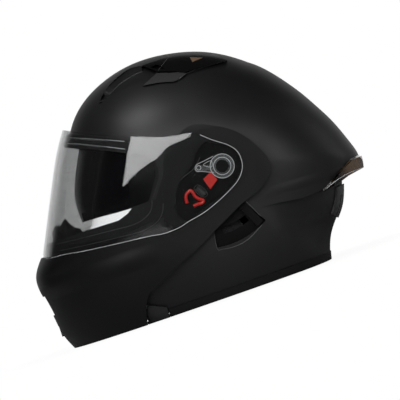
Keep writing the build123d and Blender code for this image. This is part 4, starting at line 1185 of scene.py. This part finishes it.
def carried(path, across, through, wide):
    """The section carried along the path: wide is its across direction, and the other is square to
    both."""
    ahead = np.gradient(path, axis=0)
    ahead = ahead / np.linalg.norm(ahead, axis=1, keepdims=True)
    deep = np.cross(ahead, wide)
    return path[:, None] + across[None, :, None] * wide + through[None, :, None] * deep[:, None]


def strap_piece(side, sign):
    """One strap half, from its rivet down to the buckle."""
    low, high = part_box("strap_" + side)
    corners = np.array([
        (strap_place, sign * rivet_reach, high[2] - rivet_drop),
        (strap_place, sign * wall_reach, wall_level),
        (strap_place, sign * turn_reach, low[2] + strap_lift),
        (strap_place, sign * buckle_reach, low[2] + strap_lift),
    ])
    path = rounded_path(corners, strap_bend)
    across, through = band_section(strap_half, strap_thick / 2)
    points = carried(path, across, through, np.array((1.0, 0.0, 0.0)))
    ends = points[[0, -1]].mean(axis=1, keepdims=True)
    closed = np.concatenate([np.repeat(ends[:1], points.shape[1], axis=1), points,
                             np.repeat(ends[1:], points.shape[1], axis=1)])
    piece = grid_piece("webbing_" + side, closed, wrap_columns=True)
    seal(piece)
    return piece


for side, sign in both_sides:
    webbing_piece = strap_piece(side, sign)
    webbing_piece.data.materials.append(nylon)
    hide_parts("strap_" + side)
    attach(webbing_piece, "shell_assembly")

# %% [markdown]
# ### Strap sleeves
#
# A soft sleeve keeps each strap off the throat. It is a long pillow, sewn
# down near both ends, so one section is carried along it and drawn in at
# the stitches.

# %% Padded sleeves
stitch_place, stitch_width, stitch_depth = 0.80, 0.03, 0.18


def sleeve_points(side, rows=60, columns=56):
    """A pillow: its section is x = cos^0.55, z = sin^0.8, and its height is (1 - |r|^6)^0.5 along
    the run r from -1 to 1."""
    low, high = (np.array(corner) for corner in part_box("strap_pad_" + side))
    middle = (low + high) / 2
    half = (high - low) / 2
    run = np.linspace(-1.0, 1.0, rows)
    swollen = np.clip(1.0 - np.abs(run) ** 6, 0.0, 1.0) ** 0.5
    stitched = 1.0 - stitch_depth * groove(np.abs(run) - stitch_place, stitch_width)
    angle = np.linspace(0.0, 2 * np.pi, columns, endpoint=False)
    across = np.sign(np.cos(angle)) * np.abs(np.cos(angle)) ** 0.55 * half[0]
    through = np.sign(np.sin(angle)) * np.abs(np.sin(angle)) ** 0.8 * half[2]
    x = middle[0] + across[None, :] * (0.82 + 0.18 * swollen[:, None])
    z = middle[2] + through[None, :] * (swollen * stitched)[:, None]
    y = middle[1] + run[:, None] * half[1] + np.zeros_like(x)
    return np.stack([x, y, z], axis=-1)


for side in ("left", "right"):
    sleeve = grid_piece("strap_sleeve_" + side, sleeve_points(side), wrap_columns=True)
    seal(sleeve)
    sleeve.data.materials.append(mesh_lining)
    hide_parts("strap_pad_" + side)
    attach(sleeve, "shell_assembly")
print("straps and sleeves")

# %% [markdown]
# ## Chin curtain
#
# A cloth sheet closes the gap between the chin bar and the throat. It is
# stretched between the two sides, and sags a little in the middle.

# %% Chin curtain
rim_gap, end_gap, slice_angle = 0.0006, 0.02, 0.06
sag_depth, sag_change, sag_waves = 0.0005, 0.4, 9.0


def curtain_points(rows=9, columns=121):
    """Between the solid's outer and inner outline, taken by angle round a point behind it."""
    low, high = (np.array(corner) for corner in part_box("chin_curtain"))
    solid = points_of(nodes["chin_curtain"])
    heel = np.array((high[0] - 0.0002, 0.0))
    offset = solid[:, :2] - heel
    angle = np.arctan2(offset[:, 1], -offset[:, 0])
    reach = np.hypot(*offset.T)
    turns = np.linspace(-np.pi / 2 + end_gap, np.pi / 2 - end_gap, columns)
    near = np.abs(angle[:, None] - turns[None, :]) < slice_angle
    outer = np.where(near, reach[:, None], 0.0).max(axis=0) - rim_gap
    inner = np.where(near, reach[:, None], 1.0).min(axis=0) + rim_gap
    share = np.linspace(0.0, 1.0, rows)[:, None]
    radius = inner * (1 - share) + outer * share
    x = heel[0] - radius * np.cos(turns)
    y = heel[1] + radius * np.sin(turns)
    sag = sag_depth * np.sin(share * np.pi) * (1 + sag_change * np.cos(turns * sag_waves))
    z = (low[2] + high[2]) / 2 - sag + 0 * x
    return np.stack([x, y, z], axis=-1)


# The cloth fans out from a short inner edge, so it is deeper than its area divided by its rim.
curtain_grid = curtain_points()
curtain = grid_piece("throat_curtain", curtain_grid)
apply_modifiers(curtain, [("SOLIDIFY", {"thickness": 0.0010, "offset": 0.0})])
seal(curtain)
curtain.data.materials.append(nylon)
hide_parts("chin_curtain")
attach(curtain, "chin_bar_assembly")
